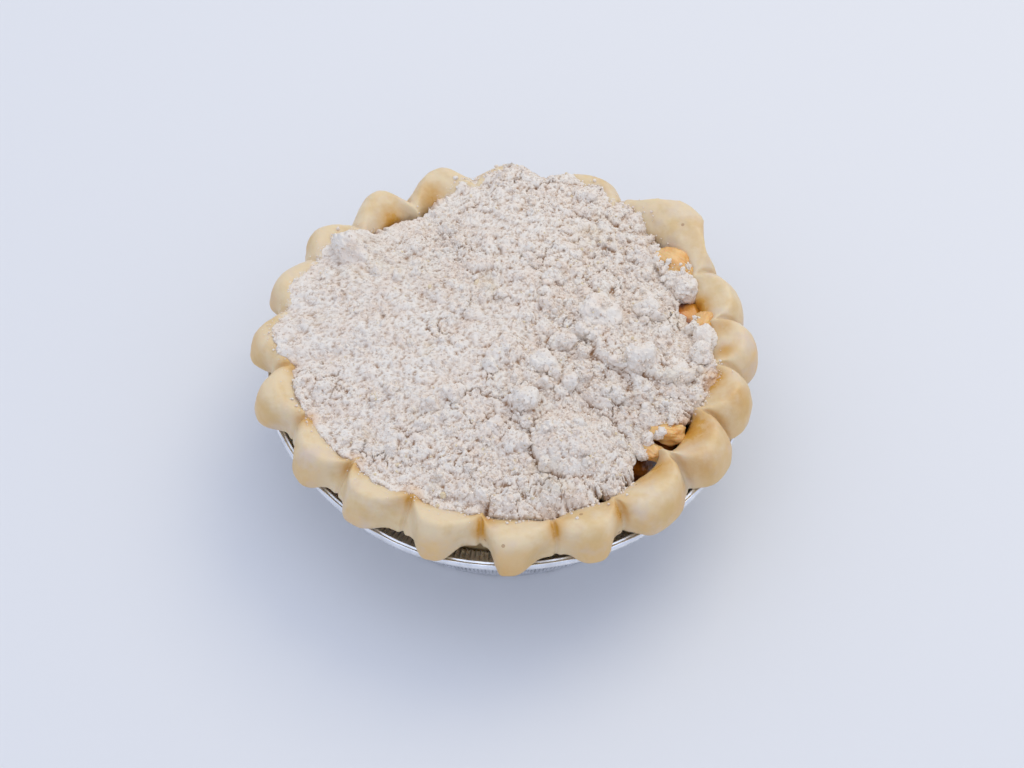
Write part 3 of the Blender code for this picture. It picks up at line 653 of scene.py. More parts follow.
def blended(tree, share, first, second, strength=1.0):
    """Two colours mixed by a share, which a strength may weaken."""
    if strength < 1.0:
        share = sums(tree, "MULTIPLY", share, strength)
    mix = node(tree, "ShaderNodeMix", {0: share, 6: first, 7: second}, data_type="RGBA", blend_type="MIX")
    return mix.outputs[2]


def noise_at(tree, place, scale, detail=2.0, roughness=0.5):
    """Cloudy noise at a place."""
    links = {"Vector": place, "Scale": scale, "Detail": detail, "Roughness": roughness}
    return node(tree, "ShaderNodeTexNoise", links).outputs["Fac"]


def cells_at(tree, place, scale):
    """The cells round points strewn in space: how far off a cell's point is, and its random colour."""
    return node(tree, "ShaderNodeTexVoronoi", {"Vector": place, "Scale": scale}).outputs


def stretched(tree, value, low, high, start=0.0, end=1.0):
    """A value read between two limits and spread from start to end."""
    links = {"Value": value, "From Min": low, "From Max": high, "To Min": start, "To Max": end}
    return node(tree, "ShaderNodeMapRange", links).outputs["Result"]


def field(tree, name):
    """One of the numbers that a piece's points carry."""
    return node(tree, "ShaderNodeAttribute", attribute_name=name, attribute_type="GEOMETRY").outputs["Fac"]


def new_group(name, inputs, output, kind):
    """An empty node group: its tree, the sockets of its named inputs, and the socket of its one output."""
    group = bpy.data.node_groups.new(name, "ShaderNodeTree")
    for label, (socket_type, value) in inputs.items():
        socket = group.interface.new_socket(label, in_out="INPUT", socket_type=socket_type)
        if value is not None:
            socket.default_value = value
    group.interface.new_socket(output, in_out="OUTPUT", socket_type=kind)
    given, out = group.nodes.new("NodeGroupInput"), group.nodes.new("NodeGroupOutput")
    return group, [given.outputs[label] for label in inputs], out.inputs[output]


def use_group(tree, name, output, **links):
    """The output of a named group, with its inputs given by name."""
    return node(tree, "ShaderNodeGroup", links, node_tree=bpy.data.node_groups[name]).outputs[output]


def patchy(tree, place, scale, low, high):
    """The mask of uneven spots, at a scale and between two limits."""
    return use_group(tree, "Patches", "Mask", Place=place, Scale=scale, Low=low, High=high)


def make_groups():
    """Patches, a mask of uneven spots; Specks, a mask of small dots; Crumbly, a height of grains; and
    Dusting, a colour powdered over with another."""
    vector, number, colour = "NodeSocketVector", "NodeSocketFloat", "NodeSocketColor"
    inputs = {"Place": (vector, None), "Scale": (number, 100.0), "Low": (number, 0.4), "High": (number, 0.6)}
    tree, (place, scale, low, high), mask = new_group("Patches", inputs, "Mask", number)
    tree.links.new(stretched(tree, noise_at(tree, place, scale, 4.0, 0.55), low, high), mask)

    inputs = {"Place": (vector, None), "Scale": (number, 500.0), "Size": (number, 0.1)}
    tree, (place, scale, size), mask = new_group("Specks", inputs, "Mask", number)
    cells = cells_at(tree, place, scale)
    split = node(tree, "ShaderNodeSeparateColor", {"Color": cells["Color"]})
    chosen = sums(tree, "GREATER_THAN", split.outputs["Red"], 0.7)
    near = sums(tree, "LESS_THAN", cells["Distance"], size)
    tree.links.new(sums(tree, "MULTIPLY", near, chosen), mask)

    inputs = {"Place": (vector, None), "Scale": (number, 1500.0), "Roughness": (number, 0.6)}
    tree, (place, scale, roughness), height = new_group("Crumbly", inputs, "Height", number)
    fine = noise_at(tree, place, scale, 3.0, roughness)
    round_tops = sums(tree, "SUBTRACT", 1.0, cells_at(tree, place, scale)["Distance"])
    tree.links.new(sums(tree, "ADD", fine, sums(tree, "MULTIPLY", round_tops, 0.6)), height)

    inputs = {"Colour": (colour, None), "Powder": (colour, None)}
    inputs |= {"Amount": (number, 0.5), "Place": (vector, None)}
    tree, (under, powder, amount, place), mixed = new_group("Dusting", inputs, "Colour", colour)
    edge = sums(tree, "SUBTRACT", 1.0, amount)
    cover = stretched(tree, noise_at(tree, place, 900.0, 3.0, 0.7), edge, sums(tree, "ADD", edge, 0.35))
    tree.links.new(blended(tree, cover, under, powder), mixed)


def new_finish(name, roughness, **constants):
    """A material with its shader's plain values set on its own sockets, its tree, shader and place."""
    finish = bpy.data.materials.new(name)
    finish.use_nodes = True
    tree = finish.node_tree
    shader = tree.nodes["Principled BSDF"]
    for label, value in {"Roughness": roughness, **constants}.items():
        shader.inputs[label.replace("_", " ")].default_value = value
    return finish, tree, shader, node(tree, "ShaderNodeTexCoord").outputs["Object"]


def surfaced(tree, shader, colour, height, distance, strength):
    """Gives a shader its colour, and a relief of a height, a distance in metres and a strength."""
    tree.links.new(colour, shader.inputs["Base Color"])
    bump = node(tree, "ShaderNodeBump", {"Height": height, "Distance": distance, "Strength": strength})
    tree.links.new(bump.outputs["Normal"], shader.inputs["Normal"])


def pastry_finish(settings):
    """Raw pastry: creamy, tan in patches and, as painted shade, on its lower outer faces, amber where syrup
    soaked it, floury beside the crumble.
    """
    finish, tree, shader, place = new_finish(
        "raw_pastry", 0.48, Subsurface_Weight=0.15, Subsurface_Scale=0.0035,
        Subsurface_Radius=(1.0, 0.62, 0.3), Coat_Weight=0.12, Coat_Roughness=0.35,
    )
    patches = patchy(tree, place, 90.0, 0.35, 0.68)
    # Painted shade: the lower outer faces go tan, on top of tan patches in the dough.
    outside = sums(tree, "MULTIPLY", field(tree, "painted_face_shade"), 0.75)
    share = sums(tree, "ADD", outside, sums(tree, "MULTIPLY", patches, 0.3))
    colour = blended(tree, stretched(tree, share, 0.1, 1.0), settings.pale, settings.tan)
    colour = blended(tree, patchy(tree, place, 132.0, 0.5, 0.7), colour, CHALKY_DOUGH, 0.5)
    colour = blended(tree, patchy(tree, place, 118.0, 0.48, 0.66), colour, YELLOW_DOUGH, 0.55)
    uneven = stretched(tree, noise_at(tree, place, 420.0, 4.0, 0.6), 0.25, 0.6, 0.55, 1.0)
    wet = sums(tree, "MULTIPLY", field(tree, "syrup"), uneven)
    colour = blended(tree, stretched(tree, wet, 0.05, 0.75), colour, settings.syrup)
    colour = blended(tree, stretched(tree, wet, 0.75, 1.25), colour, DEEP_SYRUP)
    specks = use_group(tree, "Specks", "Mask", Place=place, Scale=210.0, Size=0.10)
    colour = blended(tree, specks, colour, DOUGH_SPECK, 0.55)
    flour = {"Powder": settings.flour, "Amount": field(tree, "flour")}
    colour = use_group(tree, "Dusting", "Colour", Colour=colour, Place=place, **flour)
    tree.links.new(stretched(tree, wet, 0.0, 0.8, 0.5, 0.2), shader.inputs["Roughness"])
    swells = noise_at(tree, place, 260.0, 5.0, 0.55)
    height = sums(tree, "ADD", swells, sums(tree, "MULTIPLY", patches, 0.2))
    surfaced(tree, shader, colour, height, 0.0007, 0.5)
    return finish


def foil_finish(settings):
    """Thin bright aluminium, faintly wrinkled, with painted shade on one side of each pleat's zigzag."""
    finish, tree, shader, place = new_finish("foil", 0.26, Metallic=1.0)
    cloud = patchy(tree, place, 220.0, 0.3, 0.7)
    dull, pleat_shade = ([share * amount for amount in settings.colour] for share in (0.72, 0.16))
    colour = blended(tree, cloud, settings.colour, dull)
    # Painted shade on one side of each pleat's zigzag.
    colour = blended(tree, stretched(tree, field(tree, "groove"), 0.52, 0.85), colour, pleat_shade)
    tree.links.new(stretched(tree, cloud, 0.0, 1.0, 0.2, 0.34), shader.inputs["Roughness"])
    surfaced(tree, shader, colour, noise_at(tree, place, 900.0), 0.0002, 0.35)
    return finish


def filling_finish(settings):
    """Wet, spiced syrup with soft fruit in it: patches of a dark colour, painted shade, among amber ones,
    brighter where it stands in a pool.
    """
    finish, tree, shader, place = new_finish("apple_filling", 0.22, Coat_Weight=0.6, Coat_Roughness=0.08)
    # Painted shade: patches of the dark colour among the amber of the syrup and fruit as lit.
    colour = blended(tree, patchy(tree, place, 260.0, 0.38, 0.66), settings.dark, settings.amber)
    bright = stretched(tree, field(tree, "syrup"), 0.3, 1.0, 0.0, 0.85)
    colour = blended(tree, bright, colour, BRIGHT_SYRUP)
    surfaced(tree, shader, colour, noise_at(tree, place, 500.0, 4.0), 0.0006, 0.6)
    return finish


def apple_finish(settings):
    """Stewed apple: amber, peach and orange streaks, wet, with a little flour on top."""
    finish, tree, shader, place = new_finish(
        "apple", 0.3, Subsurface_Weight=0.25, Subsurface_Scale=0.002, Coat_Weight=0.35, Coat_Roughness=0.15
    )
    colour = blended(tree, patchy(tree, place, 230.0, 0.36, 0.64), settings.amber, settings.flesh)
    colour = blended(tree, stretched(tree, field(tree, "fibre"), 0.2, 0.8), colour, PALE_FIBRE, 0.4)
    flour = {"Powder": FRUIT_FLOUR, "Amount": field(tree, "flour")}
    colour = use_group(tree, "Dusting", "Colour", Colour=colour, Place=place, **flour)
    surfaced(tree, shader, colour, noise_at(tree, place, 700.0, 4.0), 0.0004, 0.4)
    return finish


def crumble_finish(name, settings, tinted):
    """Floury crumbs: near white, some pinker and some buttery. Tinted ones vary crumb by crumb, and the
    others get painted shade low down between the crumbs. All get small pits of painted shade."""
    finish, tree, shader, place = new_finish(name, 0.92, Specular_IOR_Level=0.2)
    colour = blended(tree, patchy(tree, place, 210.0, 0.4, 0.7), settings.flour, settings.crumb, 0.6)
    if tinted:
        colour = blended(tree, stretched(tree, field(tree, "tint"), 0.6, 0.97), colour, settings.crumb)
        colour = blended(tree, stretched(tree, field(tree, "tint"), 0.975, 0.98), colour, settings.butter)
    else:
        # Painted shade where the heap lies low between its crumbs.
        colour = blended(tree, field(tree, "depth"), colour, settings.shade)
    wet = stretched(tree, field(tree, "syrup"), 0.25, 1.0, 0.0, 0.75)
    colour = blended(tree, wet, colour, SOAKED_CRUMB)
    # Painted shade in tiny pits between the grains, in small patches.
    colour = blended(tree, patchy(tree, place, 1000.0, 0.6, 0.68), colour, settings.shade, 0.5)
    colour = blended(tree, patchy(tree, place, 75.0, 0.6, 0.78), colour, settings.butter, 0.4)
    height = use_group(tree, "Crumbly", "Height", Place=place, Scale=2500.0, Roughness=0.7)
    surfaced(tree, shader, colour, height, 0.0002, 0.8)
    return finish


# Settings


def colour_setting(name, description, default, high=1.0):
    """A colour that a user may change."""
    return FloatVectorProperty(
        name=name, description=description, default=default, subtype="COLOR", size=3, min=0.0, max=high
    )


def size_setting(name, description, default, high):
    """A size in millimetres that a user may change."""
    return FloatProperty(name=name, description=description, default=default, min=0.0, max=high)


def count_setting(name, description, default, low, high):
    """A number of things that a user may change."""
    return IntProperty(name=name, description=description, default=default, min=low, max=high)


class CrustSettings(bpy.types.PropertyGroup):
    """The pastry crust"""

    steps: count_setting("Steps", "Sections all round the crust", 1216, 200, 1280)
    swell: size_setting("Swell", "How uneven the dough is, in millimetres", 0.3, 1.0)
    notch: size_setting("Notch", "Depth of the fold between flutes, in millimetres", 0.8, 1.2)
    pale: colour_setting("Pale", "Dough where it is lightest", linear(230, 207, 168))
    # Tan is used in patches and as painted shade on the lower outer faces.
    tan: colour_setting("Tan", "Dough on its outer faces", linear(226, 188, 129))
    syrup: colour_setting("Syrup", "Dough soaked by syrup", linear(208, 152, 58))
    flour: colour_setting("Flour", "Flour that dusts the dough", linear(234, 226, 216))


class FoilSettings(bpy.types.PropertyGroup):
    """The foil dish"""

    pleats: count_setting("Pleats", "Pleats all round the dish", 300, 40, 320)
    depth: size_setting("Depth", "Depth of the pleats, in millimetres", 0.42, 0.6)
    thickness: size_setting("Thickness", "Thickness of the foil, in millimetres", 0.3, 0.5)
    colour: colour_setting("Colour", "Bright foil", linear(246, 247, 250))


class FillingSettings(bpy.types.PropertyGroup):
    """The filling under the crumble"""

    lumpiness: size_setting("Lumpiness", "Height of the lumps, in millimetres", 1.3, 3.0)
    dark: colour_setting("Dark", "Syrup in the shade", linear(86, 38, 18))
    amber: colour_setting("Amber", "Syrup and fruit in the light", linear(200, 118, 36))


class AppleSettings(bpy.types.PropertyGroup):
    """The pieces of apple"""

    fibres: size_setting("Fibres", "Height of the fibres, in millimetres", 0.13, 0.6)
    amber: colour_setting("Amber", "Fruit soaked with syrup", linear(224, 158, 66))
    flesh: colour_setting("Flesh", "Paler fruit", linear(233, 192, 124))


class CrumbleSettings(bpy.types.PropertyGroup):
    """The crumble and its loose crumbs"""

    grid: count_setting("Grid", "Points along a side of the heap's grid", 306, 60, 306)
    grains: count_setting("Grains", "Loose grains in each handful", 9500, 500, 9900)
    flour: colour_setting("Flour", "The palest crumbs", linear(244, 235, 223))
    crumb: colour_setting("Crumb", "Pinker crumbs", linear(240, 221, 203))
    butter: colour_setting("Butter", "Crumbs rich in butter", linear(233, 215, 180))
    # Painted shade, for the low places between crumbs and for tiny pits.
    shade: colour_setting("Shade", "Low places between crumbs", linear(166, 128, 96))


class StageSettings(bpy.types.PropertyGroup):
    """The floor and the light"""

    floor: colour_setting("Floor", "The plain tabletop", (0.785, 0.78, 0.785))
    sky: colour_setting("Sky", "Light from all round", (0.755, 0.828, 1.01), 2.0)
    sky_strength: FloatProperty(name="Strength", description="Strength of the sky", default=0.885, min=0.0)
    ceiling_power: FloatProperty(
        name="Ceiling", description="Power of the broad light overhead", default=3.2, min=0.0, unit="POWER"
    )
    window_power: FloatProperty(
        name="Window", description="Power of the soft window light", default=4.3, min=0.0, unit="POWER"
    )


class PieSettings(bpy.types.PropertyGroup):
    """All the pie's settings"""

    crust: PointerProperty(type=CrustSettings)
    foil: PointerProperty(type=FoilSettings)
    filling: PointerProperty(type=FillingSettings)
    apple: PointerProperty(type=AppleSettings)
    crumble: PointerProperty(type=CrumbleSettings)
    stage: PointerProperty(type=StageSettings)


# Operators


class PIE_OT_crust(bpy.types.Operator):
    """Make the fluted raw pastry crust"""

    bl_idname = "pie.crust"
    bl_label = "Pastry crust"

    def execute(self, context):
        settings = context.scene.pie.crust
        degrees = np.arange(settings.steps) * 360.0 / settings.steps + FLUTES[0, 0]
        grid = turned_grid(*crust_rings(degrees), degrees)
        # The dough swells and folds only above the dish.
        upper = limited((grid[..., 2] - 30.0) / 3.0)
        bumps = layered_noise(grid / 9.0, 5) + 0.35 * layered_noise(grid / 2.6, 8)
        grid = moved_out(grid, settings.swell * upper * bumps)
        # The folds: how far each angle is from the nearest crease, along the lip.
        off_crease = (degrees[:, None] - FLUTES[None, :, 0] + 180.0) % 360.0 - 180.0
        off_crease = np.min(np.abs(off_crease), axis=1) * math.pi / 180.0 * LIP_RADIUS
        outer = limited((np.hypot(grid[..., 0], grid[..., 1]) - 54.5) / 2.0) * upper
        grid = moved_out(grid, -settings.notch * outer * bell(off_crease[None, :], 0.55))
        points, groups = closed_rings(grid)
        x, y, z = np.concatenate([grid.reshape(-1, 3), points[-2:]]).T
        out = np.hypot(x, y)
        beyond = out - crumble_edge(np.degrees(np.arctan2(y, x)))
        flour = 0.55 * np.exp(-np.maximum(beyond, 0.0) / 1.1) * limited((z - 35.0) / 3.0)
        # Painted shade: the lower outer faces, which the finish turns tan.
        painted_face_shade = limited((out - 61.0) / 4.0) * limited((42.0 - z) / 3.0)
        fields = {"flour": flour, "painted_face_shade": painted_face_shade, "syrup": soaked(points)}
        finish = pastry_finish(settings)
        add_piece("pie_crust", points, groups, finish, ("pastry_crust",), fields)
        return {"FINISHED"}


def dish_section(thick):
    """The foil's section as radius, height, and how far a pleat moves each of them: the outside from the base
    up to the groove under the rim, the round rolled rim, the groove, and the inside down to the base. Also
    which of its points are the rim's."""
    slope = (DISH_MOUTH_RADIUS - DISH_BASE_RADIUS) / DISH_HEIGHT
    outer = [(DISH_BASE_RADIUS - DISH_CORNER, 0.0, 0.0, 0.0)]
    for a in np.radians(np.linspace(-80.0, 0.0, 5)):
        r, z = DISH_BASE_RADIUS - DISH_CORNER * (1.0 - math.cos(a)), DISH_CORNER * (1.0 + math.sin(a))
        outer.append((r, z, 0.0, 0.0))
    wall = len(outer)
    for share in (0.1, 0.2, 0.3, 0.4, 0.7, 1.0):
        z = DISH_CORNER + (DISH_HEIGHT - 1.0 - DISH_CORNER) * share
        outer.append((DISH_BASE_RADIUS + slope * z, z, min(1.0, 2.5 * share), 0.0))
    outer.append((DISH_MOUTH_RADIUS + 0.55, DISH_HEIGHT - 0.35, 0.3, -0.6))
    outer.append((DISH_MOUTH_RADIUS + 1.6, DISH_HEIGHT - 0.25, 0.0, -0.7))
    groove_radius, groove_height = BEAD_CENTRE - BEAD_RADIUS - 0.3, DISH_HEIGHT - 0.25
    outer.append((groove_radius, groove_height, 0.0, -0.3))
    bead = []
    for a in np.radians(np.linspace(-150.0, 150.0, 25)):
        radius = BEAD_RADIUS * (1.0 - 0.3 * math.exp(-(((a - 1.45) / 0.22) ** 2)))
        bead.append((BEAD_CENTRE + radius * math.cos(a), DISH_HEIGHT + 0.1 + radius * math.sin(a), 0.0, 0.0))
    groove = [(BEAD_CENTRE - BEAD_RADIUS - 0.25, groove_height + 0.6 * thick, 0.0, -0.3)]
    inner = [(r - thick, z + 0.6 * thick, dr, dz) for r, z, dr, dz in reversed(outer[wall:-1])]
    inner.append((DISH_BASE_RADIUS - thick, DISH_CORNER + 0.5 * thick, 0.0, 0.0))
    inner.append((DISH_BASE_RADIUS - DISH_CORNER - 0.5 * thick, thick, 0.0, 0.0))
    on_bead = np.repeat((0.0, 1.0, 0.0), (len(outer), len(bead), len(groove) + len(inner)))
    return np.array(outer + bead + groove + inner), on_bead


class PIE_OT_foil(bpy.types.Operator):
    """Make the pleated foil dish with its rolled rim"""

    bl_idname = "pie.foil"
    bl_label = "Foil dish"

    def execute(self, context):
        settings = context.scene.pie.foil
        steps = settings.pleats * PLEAT_STEPS
        turn = np.arange(steps) * 2.0 * math.pi / steps
        ring = np.stack([np.cos(turn), np.sin(turn)], axis=-1)
        # The pleats: a zigzag from -1 to 1, uneven in its width and its height.
        way = np.arange(steps) / PLEAT_STEPS + 0.35 * soft_noise(ring * 14.0, 3)
        fold = 2.0 * np.abs(2.0 * (way - np.floor(way)) - 1.0) - 1.0
        fold *= 0.75 + 0.35 * soft_noise(ring * 40.0, 4)
        section, on_bead = dish_section(settings.thickness)
        radius, height, out_share, up_share = section.T
        # The rim's dent at the front left, and how much of it each point takes.
        dent = -1.3 * bell(np.degrees(turn) - 222.0, 20.0)
        on_rim = limited((radius - DISH_MOUTH_RADIUS) / 3.0)
        move = fold[:, None] * settings.depth
        radii = radius[None] + out_share[None] * move + dent[:, None] * on_rim
        heights = height[None] + up_share[None] * move
        wobble = 0.16 * soft_noise(ring * 6.0, 9) + 0.07 * soft_noise(ring * 25.0, 10)
        heights = heights + wobble[:, None] * on_bead
        points, groups = closed_rings(turned_grid(radii, heights, np.degrees(turn)))
        on_ring = np.repeat(on_bead[:-1] * on_bead[1:] > 0.5, steps)
        smooth = np.concatenate([on_ring, np.zeros(len(groups[1]), bool)])
        # Painted shade: one side of each pleat's zigzag, on the wall and flange only, which the finish
        # darkens.
        groove = limited(0.5 - 0.5 * fold[:, None] * limited(1.5 * np.abs(out_share - up_share)))
        fields = {"groove": np.concatenate([groove.T.ravel(), (0.5, 0.5)])}
        finish = foil_finish(settings)
        add_piece("foil_pie_dish", points, groups, finish, ("foil_dish",), fields, smooth)
        return {"FINISHED"}


class PIE_OT_filling(bpy.types.Operator):
    """Make the apple filling that shows in the gap"""

    bl_idname = "pie.filling"
    bl_label = "Apple filling"

    def execute(self, context):
        settings = context.scene.pie.filling
        degrees = np.arange(480) * 0.75
        off_gap = np.mod(degrees - GAP_ANGLE + 180.0, 360.0) - 180.0
        bare = bell(off_gap, GAP_WIDTH)[:, None]
        pool = bell(degrees - POOL_ANGLE, POOL_WIDTH)[:, None]
        out = np.concatenate([[FILLING_RIM], FILLING_RIM * (1.0 - np.linspace(0.02, 0.98, 60))])
        out = out * (1.0 + POOL_SPREAD * pool)
        towards = limited((out - GAP_START) / (FILLING_RIM - GAP_START))
        x, y = around(out, degrees[:, None])
        top = FILLING_TOP - 0.6 - GAP_DEPTH * bare * towards
        fruit = 0.35 * lumps(x, y, 4.5, 131, 0.8) / 4.5 * 2.0 - 0.5
        top = top + settings.lumpiness * fruit * (0.3 + 0.7 * bare)
        top = top + 0.2 * soft_noise(np.stack([x, y], -1) / 1.1, 140)
        top = top + POOL_RISE * pool * limited((out - GAP_START) / 8.0)
        side = np.ones((len(degrees), 1, 1)) * np.array(FILLING_SIDE)
        radii = np.concatenate([side[..., 0], out], axis=1)
        heights = np.concatenate([side[..., 1], np.minimum(top, POOL_TOP)], axis=1)
        points, groups = closed_rings(turned_grid(radii, heights, degrees))
        finish, fields = filling_finish(settings), {"syrup": soaked(points)}
        add_piece("fruit_filling", points, groups, finish, ("apple_filling",), fields)
        return {"FINISHED"}


class PIE_OT_apples(bpy.types.Operator):
    """Make the pieces of apple that show beside the crust"""

    bl_idname = "pie.apples"
    bl_label = "Apple pieces"

    def execute(self, context):
        settings = context.scene.pie.apple
        finish = apple_finish(settings)
        shape, faces = ball(5)
        # A squarish round, bent to one side along its length.
        bent = np.sign(shape) * np.abs(shape) ** 0.85
        bent[:, 1] += 0.16 * bent[:, 0] ** 2
        for label, (x, y, z, length, width, thick, turn, tilt) in APPLE_PIECES.items():
            own = np.array((x, y, z))
            lump = 1.0 + 0.15 * layered_noise(shape * 1.3 + own, 150)
            size = np.array((length, width, thick)) * 0.5
            ragged = 1.0 + 0.5 * soft_noise(shape * 1.1 + own, 155)[:, None] * np.array((0.5, 1.0, 0.9))
            local = bent * size * lump[:, None] * ragged
            fibre = soft_noise(local * np.array((0.35, 1.9, 1.9)) + own, 160)
            fibre = fibre + 0.5 * soft_noise(local * np.array((0.8, 3.8, 3.8)) + own, 161)
            local = local + shape * (settings.fibres * fibre)[:, None]
            cos_a, sin_a = math.cos(math.radians(turn)), math.sin(math.radians(turn))
            cos_b, sin_b = math.cos(math.radians(tilt)), math.sin(math.radians(tilt))
            tilted = np.array(((cos_b, 0.0, sin_b), (0.0, 1.0, 0.0), (-sin_b, 0.0, cos_b)))
            turned = np.array(((cos_a, -sin_a, 0.0), (sin_a, cos_a, 0.0), (0.0, 0.0, 1.0)))
            points = local @ (turned @ tilted).T + own
            fields = {"fibre": 0.5 + 0.4 * fibre, "flour": limited((points[:, 2] - z) / thick) * 0.35}
            add_piece(f"stewed_{label}", points, [faces], finish, (label,), fields)
        return {"FINISHED"}


def square_on_disc(side):
    """The x and y of a square grid laid over the unit disc: the larger coordinate is the share of the radius,
    and the other over it, times an eighth of a turn, is the angle from that side's middle."""
    a, b = np.meshgrid(np.linspace(-1.0, 1.0, side), np.linspace(-1.0, 1.0, side), indexing="ij")
    wide = np.abs(a) > np.abs(b)
    safe_a, safe_b = np.where(np.abs(a) < 1e-12, 1e-12, a), np.where(np.abs(b) < 1e-12, 1e-12, b)
    share = np.where(wide, a, b)
    turn = np.where(wide, (math.pi / 4.0) * b / safe_a, math.pi / 2.0 - (math.pi / 4.0) * a / safe_b)
    return share * np.cos(turn), share * np.sin(turn)


def painted_hollow_shade(z):
    """The mask of painted shade in the heap's hollows: how far each point of a grid lies below its
    neighbourhood, from 0 to 1: each height is averaged with its four neighbours' a few times over, and the
    height itself is taken away."""
    smoothed = z.copy()
    for _ in range(6):
        wide = np.pad(smoothed, 1, mode="edge")
        smoothed = (wide[:-2, 1:-1] + wide[2:, 1:-1] + wide[1:-1, :-2] + wide[1:-1, 2:] + smoothed) / 5.0
    return limited((smoothed - z) / 0.38)


class PIE_OT_crumble_bed(bpy.types.Operator):
    """Make the heap of crumble"""

    bl_idname = "pie.crumble_bed"
    bl_label = "Crumble heap"

    def execute(self, context):
        settings = context.scene.pie.crumble
        side = settings.grid
        x, y = square_on_disc(side)
        edge = crumble_edge(np.degrees(np.arctan2(y, x)).ravel()).reshape(side, side)
        x, y = x * edge, y * edge
        z = crumble_height(x, y)
        # The rim's points in order, then a wall down from them to the underside, drawn in a little.
        rim = np.concatenate([
            np.arange(side) * side, (side - 1) * side + np.arange(1, side),
            np.arange(side - 2, -1, -1) * side + side - 1, np.arange(side - 2, 0, -1),
        ])
        top = np.stack([x, y, z], axis=-1).reshape(-1, 3)
        skirt = top[rim] * np.array((0.985, 0.985, 0.0)) + np.array((0.0, 0.0, CRUMBLE_BASE))
        points = np.concatenate([top, skirt, [(0.0, 0.0, CRUMBLE_BASE)]])
        corner = (np.arange(side - 1)[:, None] * side + np.arange(side - 1)).ravel()
        quads = np.stack([corner, corner + side, corner + side + 1, corner + 1], axis=-1)
        count, first = len(rim), side * side
        low = first + np.arange(count)
        after = (np.arange(count) + 1) % count
        sides = np.stack([rim[after], rim, low, first + after], axis=-1)
        base = np.stack([first + after, low, np.full(count, first + count)], axis=-1)
        # Painted shade in the low places between crumbs; none on the wall and underside.
        depth = np.concatenate([painted_hollow_shade(z).ravel(), np.zeros(count + 1)])
        fields = {"depth": depth, "syrup": soaked(points)}
        finish = crumble_finish("crumble", settings, False)
        groups = [quads, sides, base]
        add_piece("crumble_heap", points, groups, finish, ("crumble_topping",), fields)
        return {"FINISHED"}


def apple_tops(draw, count):
    """Points strewn over the apple pieces' tops, taken as flat rounds, but not on the side by the crust."""
    rows = np.array(list(APPLE_PIECES.values()))[draw.integers(0, len(APPLE_PIECES), count)]
    out, way = np.sqrt(draw.uniform(0.0, 0.85, count)), draw.uniform(0.0, 2.0 * math.pi, count)
    along, across = out * np.cos(way), out * np.sin(way)
    turn = np.radians(rows[:, 6])
    x = 0.5 * (rows[:, 3] * along * np.cos(turn) - rows[:, 4] * across * np.sin(turn))
    y = 0.5 * (rows[:, 3] * along * np.sin(turn) + rows[:, 4] * across * np.cos(turn))
    outward = np.hypot(rows[:, 0] + x, rows[:, 1] + y) > np.hypot(rows[:, 0], rows[:, 1]) + 0.8
    x, y = np.where(outward, -x, x), np.where(outward, -y, y)
    z = rows[:, 2] + 0.46 * rows[:, 5] * np.sqrt(1.0 - out**2)
    return np.stack([rows[:, 0] + x, rows[:, 1] + y, z], axis=1)


def strewn_places(draw, count, radius_range, lean, on_clumps, on_apples, clumps, skin):
    """Middles and radii of loose crumbs: evenly over the crumble, a few strays past its edge on the crust,
    some on the clumps' skin and some on the apple pieces. A lean above 1 makes small ones more common."""
    smallest, largest = radius_range
    spread = np.sqrt(draw.uniform(0.0, 1.0, count))
    angle = draw.uniform(0.0, 360.0, count)
    radius = smallest + (largest - smallest) * draw.uniform(0.0, 1.0, count) ** lean
    edge = crumble_edge(angle)
    x, y = around(spread * (edge - 0.2), angle)
    radius *= 0.48 + 0.5 * coarseness(x, y)
    z = heap_top(x, y, clumps) + radius * draw.uniform(-0.1, 0.45, count)
    stray = draw.uniform(0.0, 1.0, count) < STRAY_SHARE
    away = np.minimum(edge - 0.6 + draw.exponential(0.9, count), STRAY_REACH)
    radius = np.where(stray, np.minimum(radius, STRAY_RADIUS), radius)
    stray_x, stray_y = around(away, angle)
    stray_z = crust_top(stray_x, stray_y)
    stray &= stray_z > CRUMBLE_BASE
    strays = np.stack([stray_x, stray_y, stray_z + 0.35 * radius], -1)
    centres = np.where(stray[:, None], strays, np.stack([x, y, z], -1))
    on_clump = (draw.uniform(0.0, 1.0, count) < on_clumps)[:, None]
    centres = np.where(on_clump, skin[draw.integers(0, len(skin), count)], centres)
    on_apple = (draw.uniform(0.0, 1.0, count) < on_apples)[:, None]
    return np.where(on_apple, apple_tops(draw, count), centres), radius


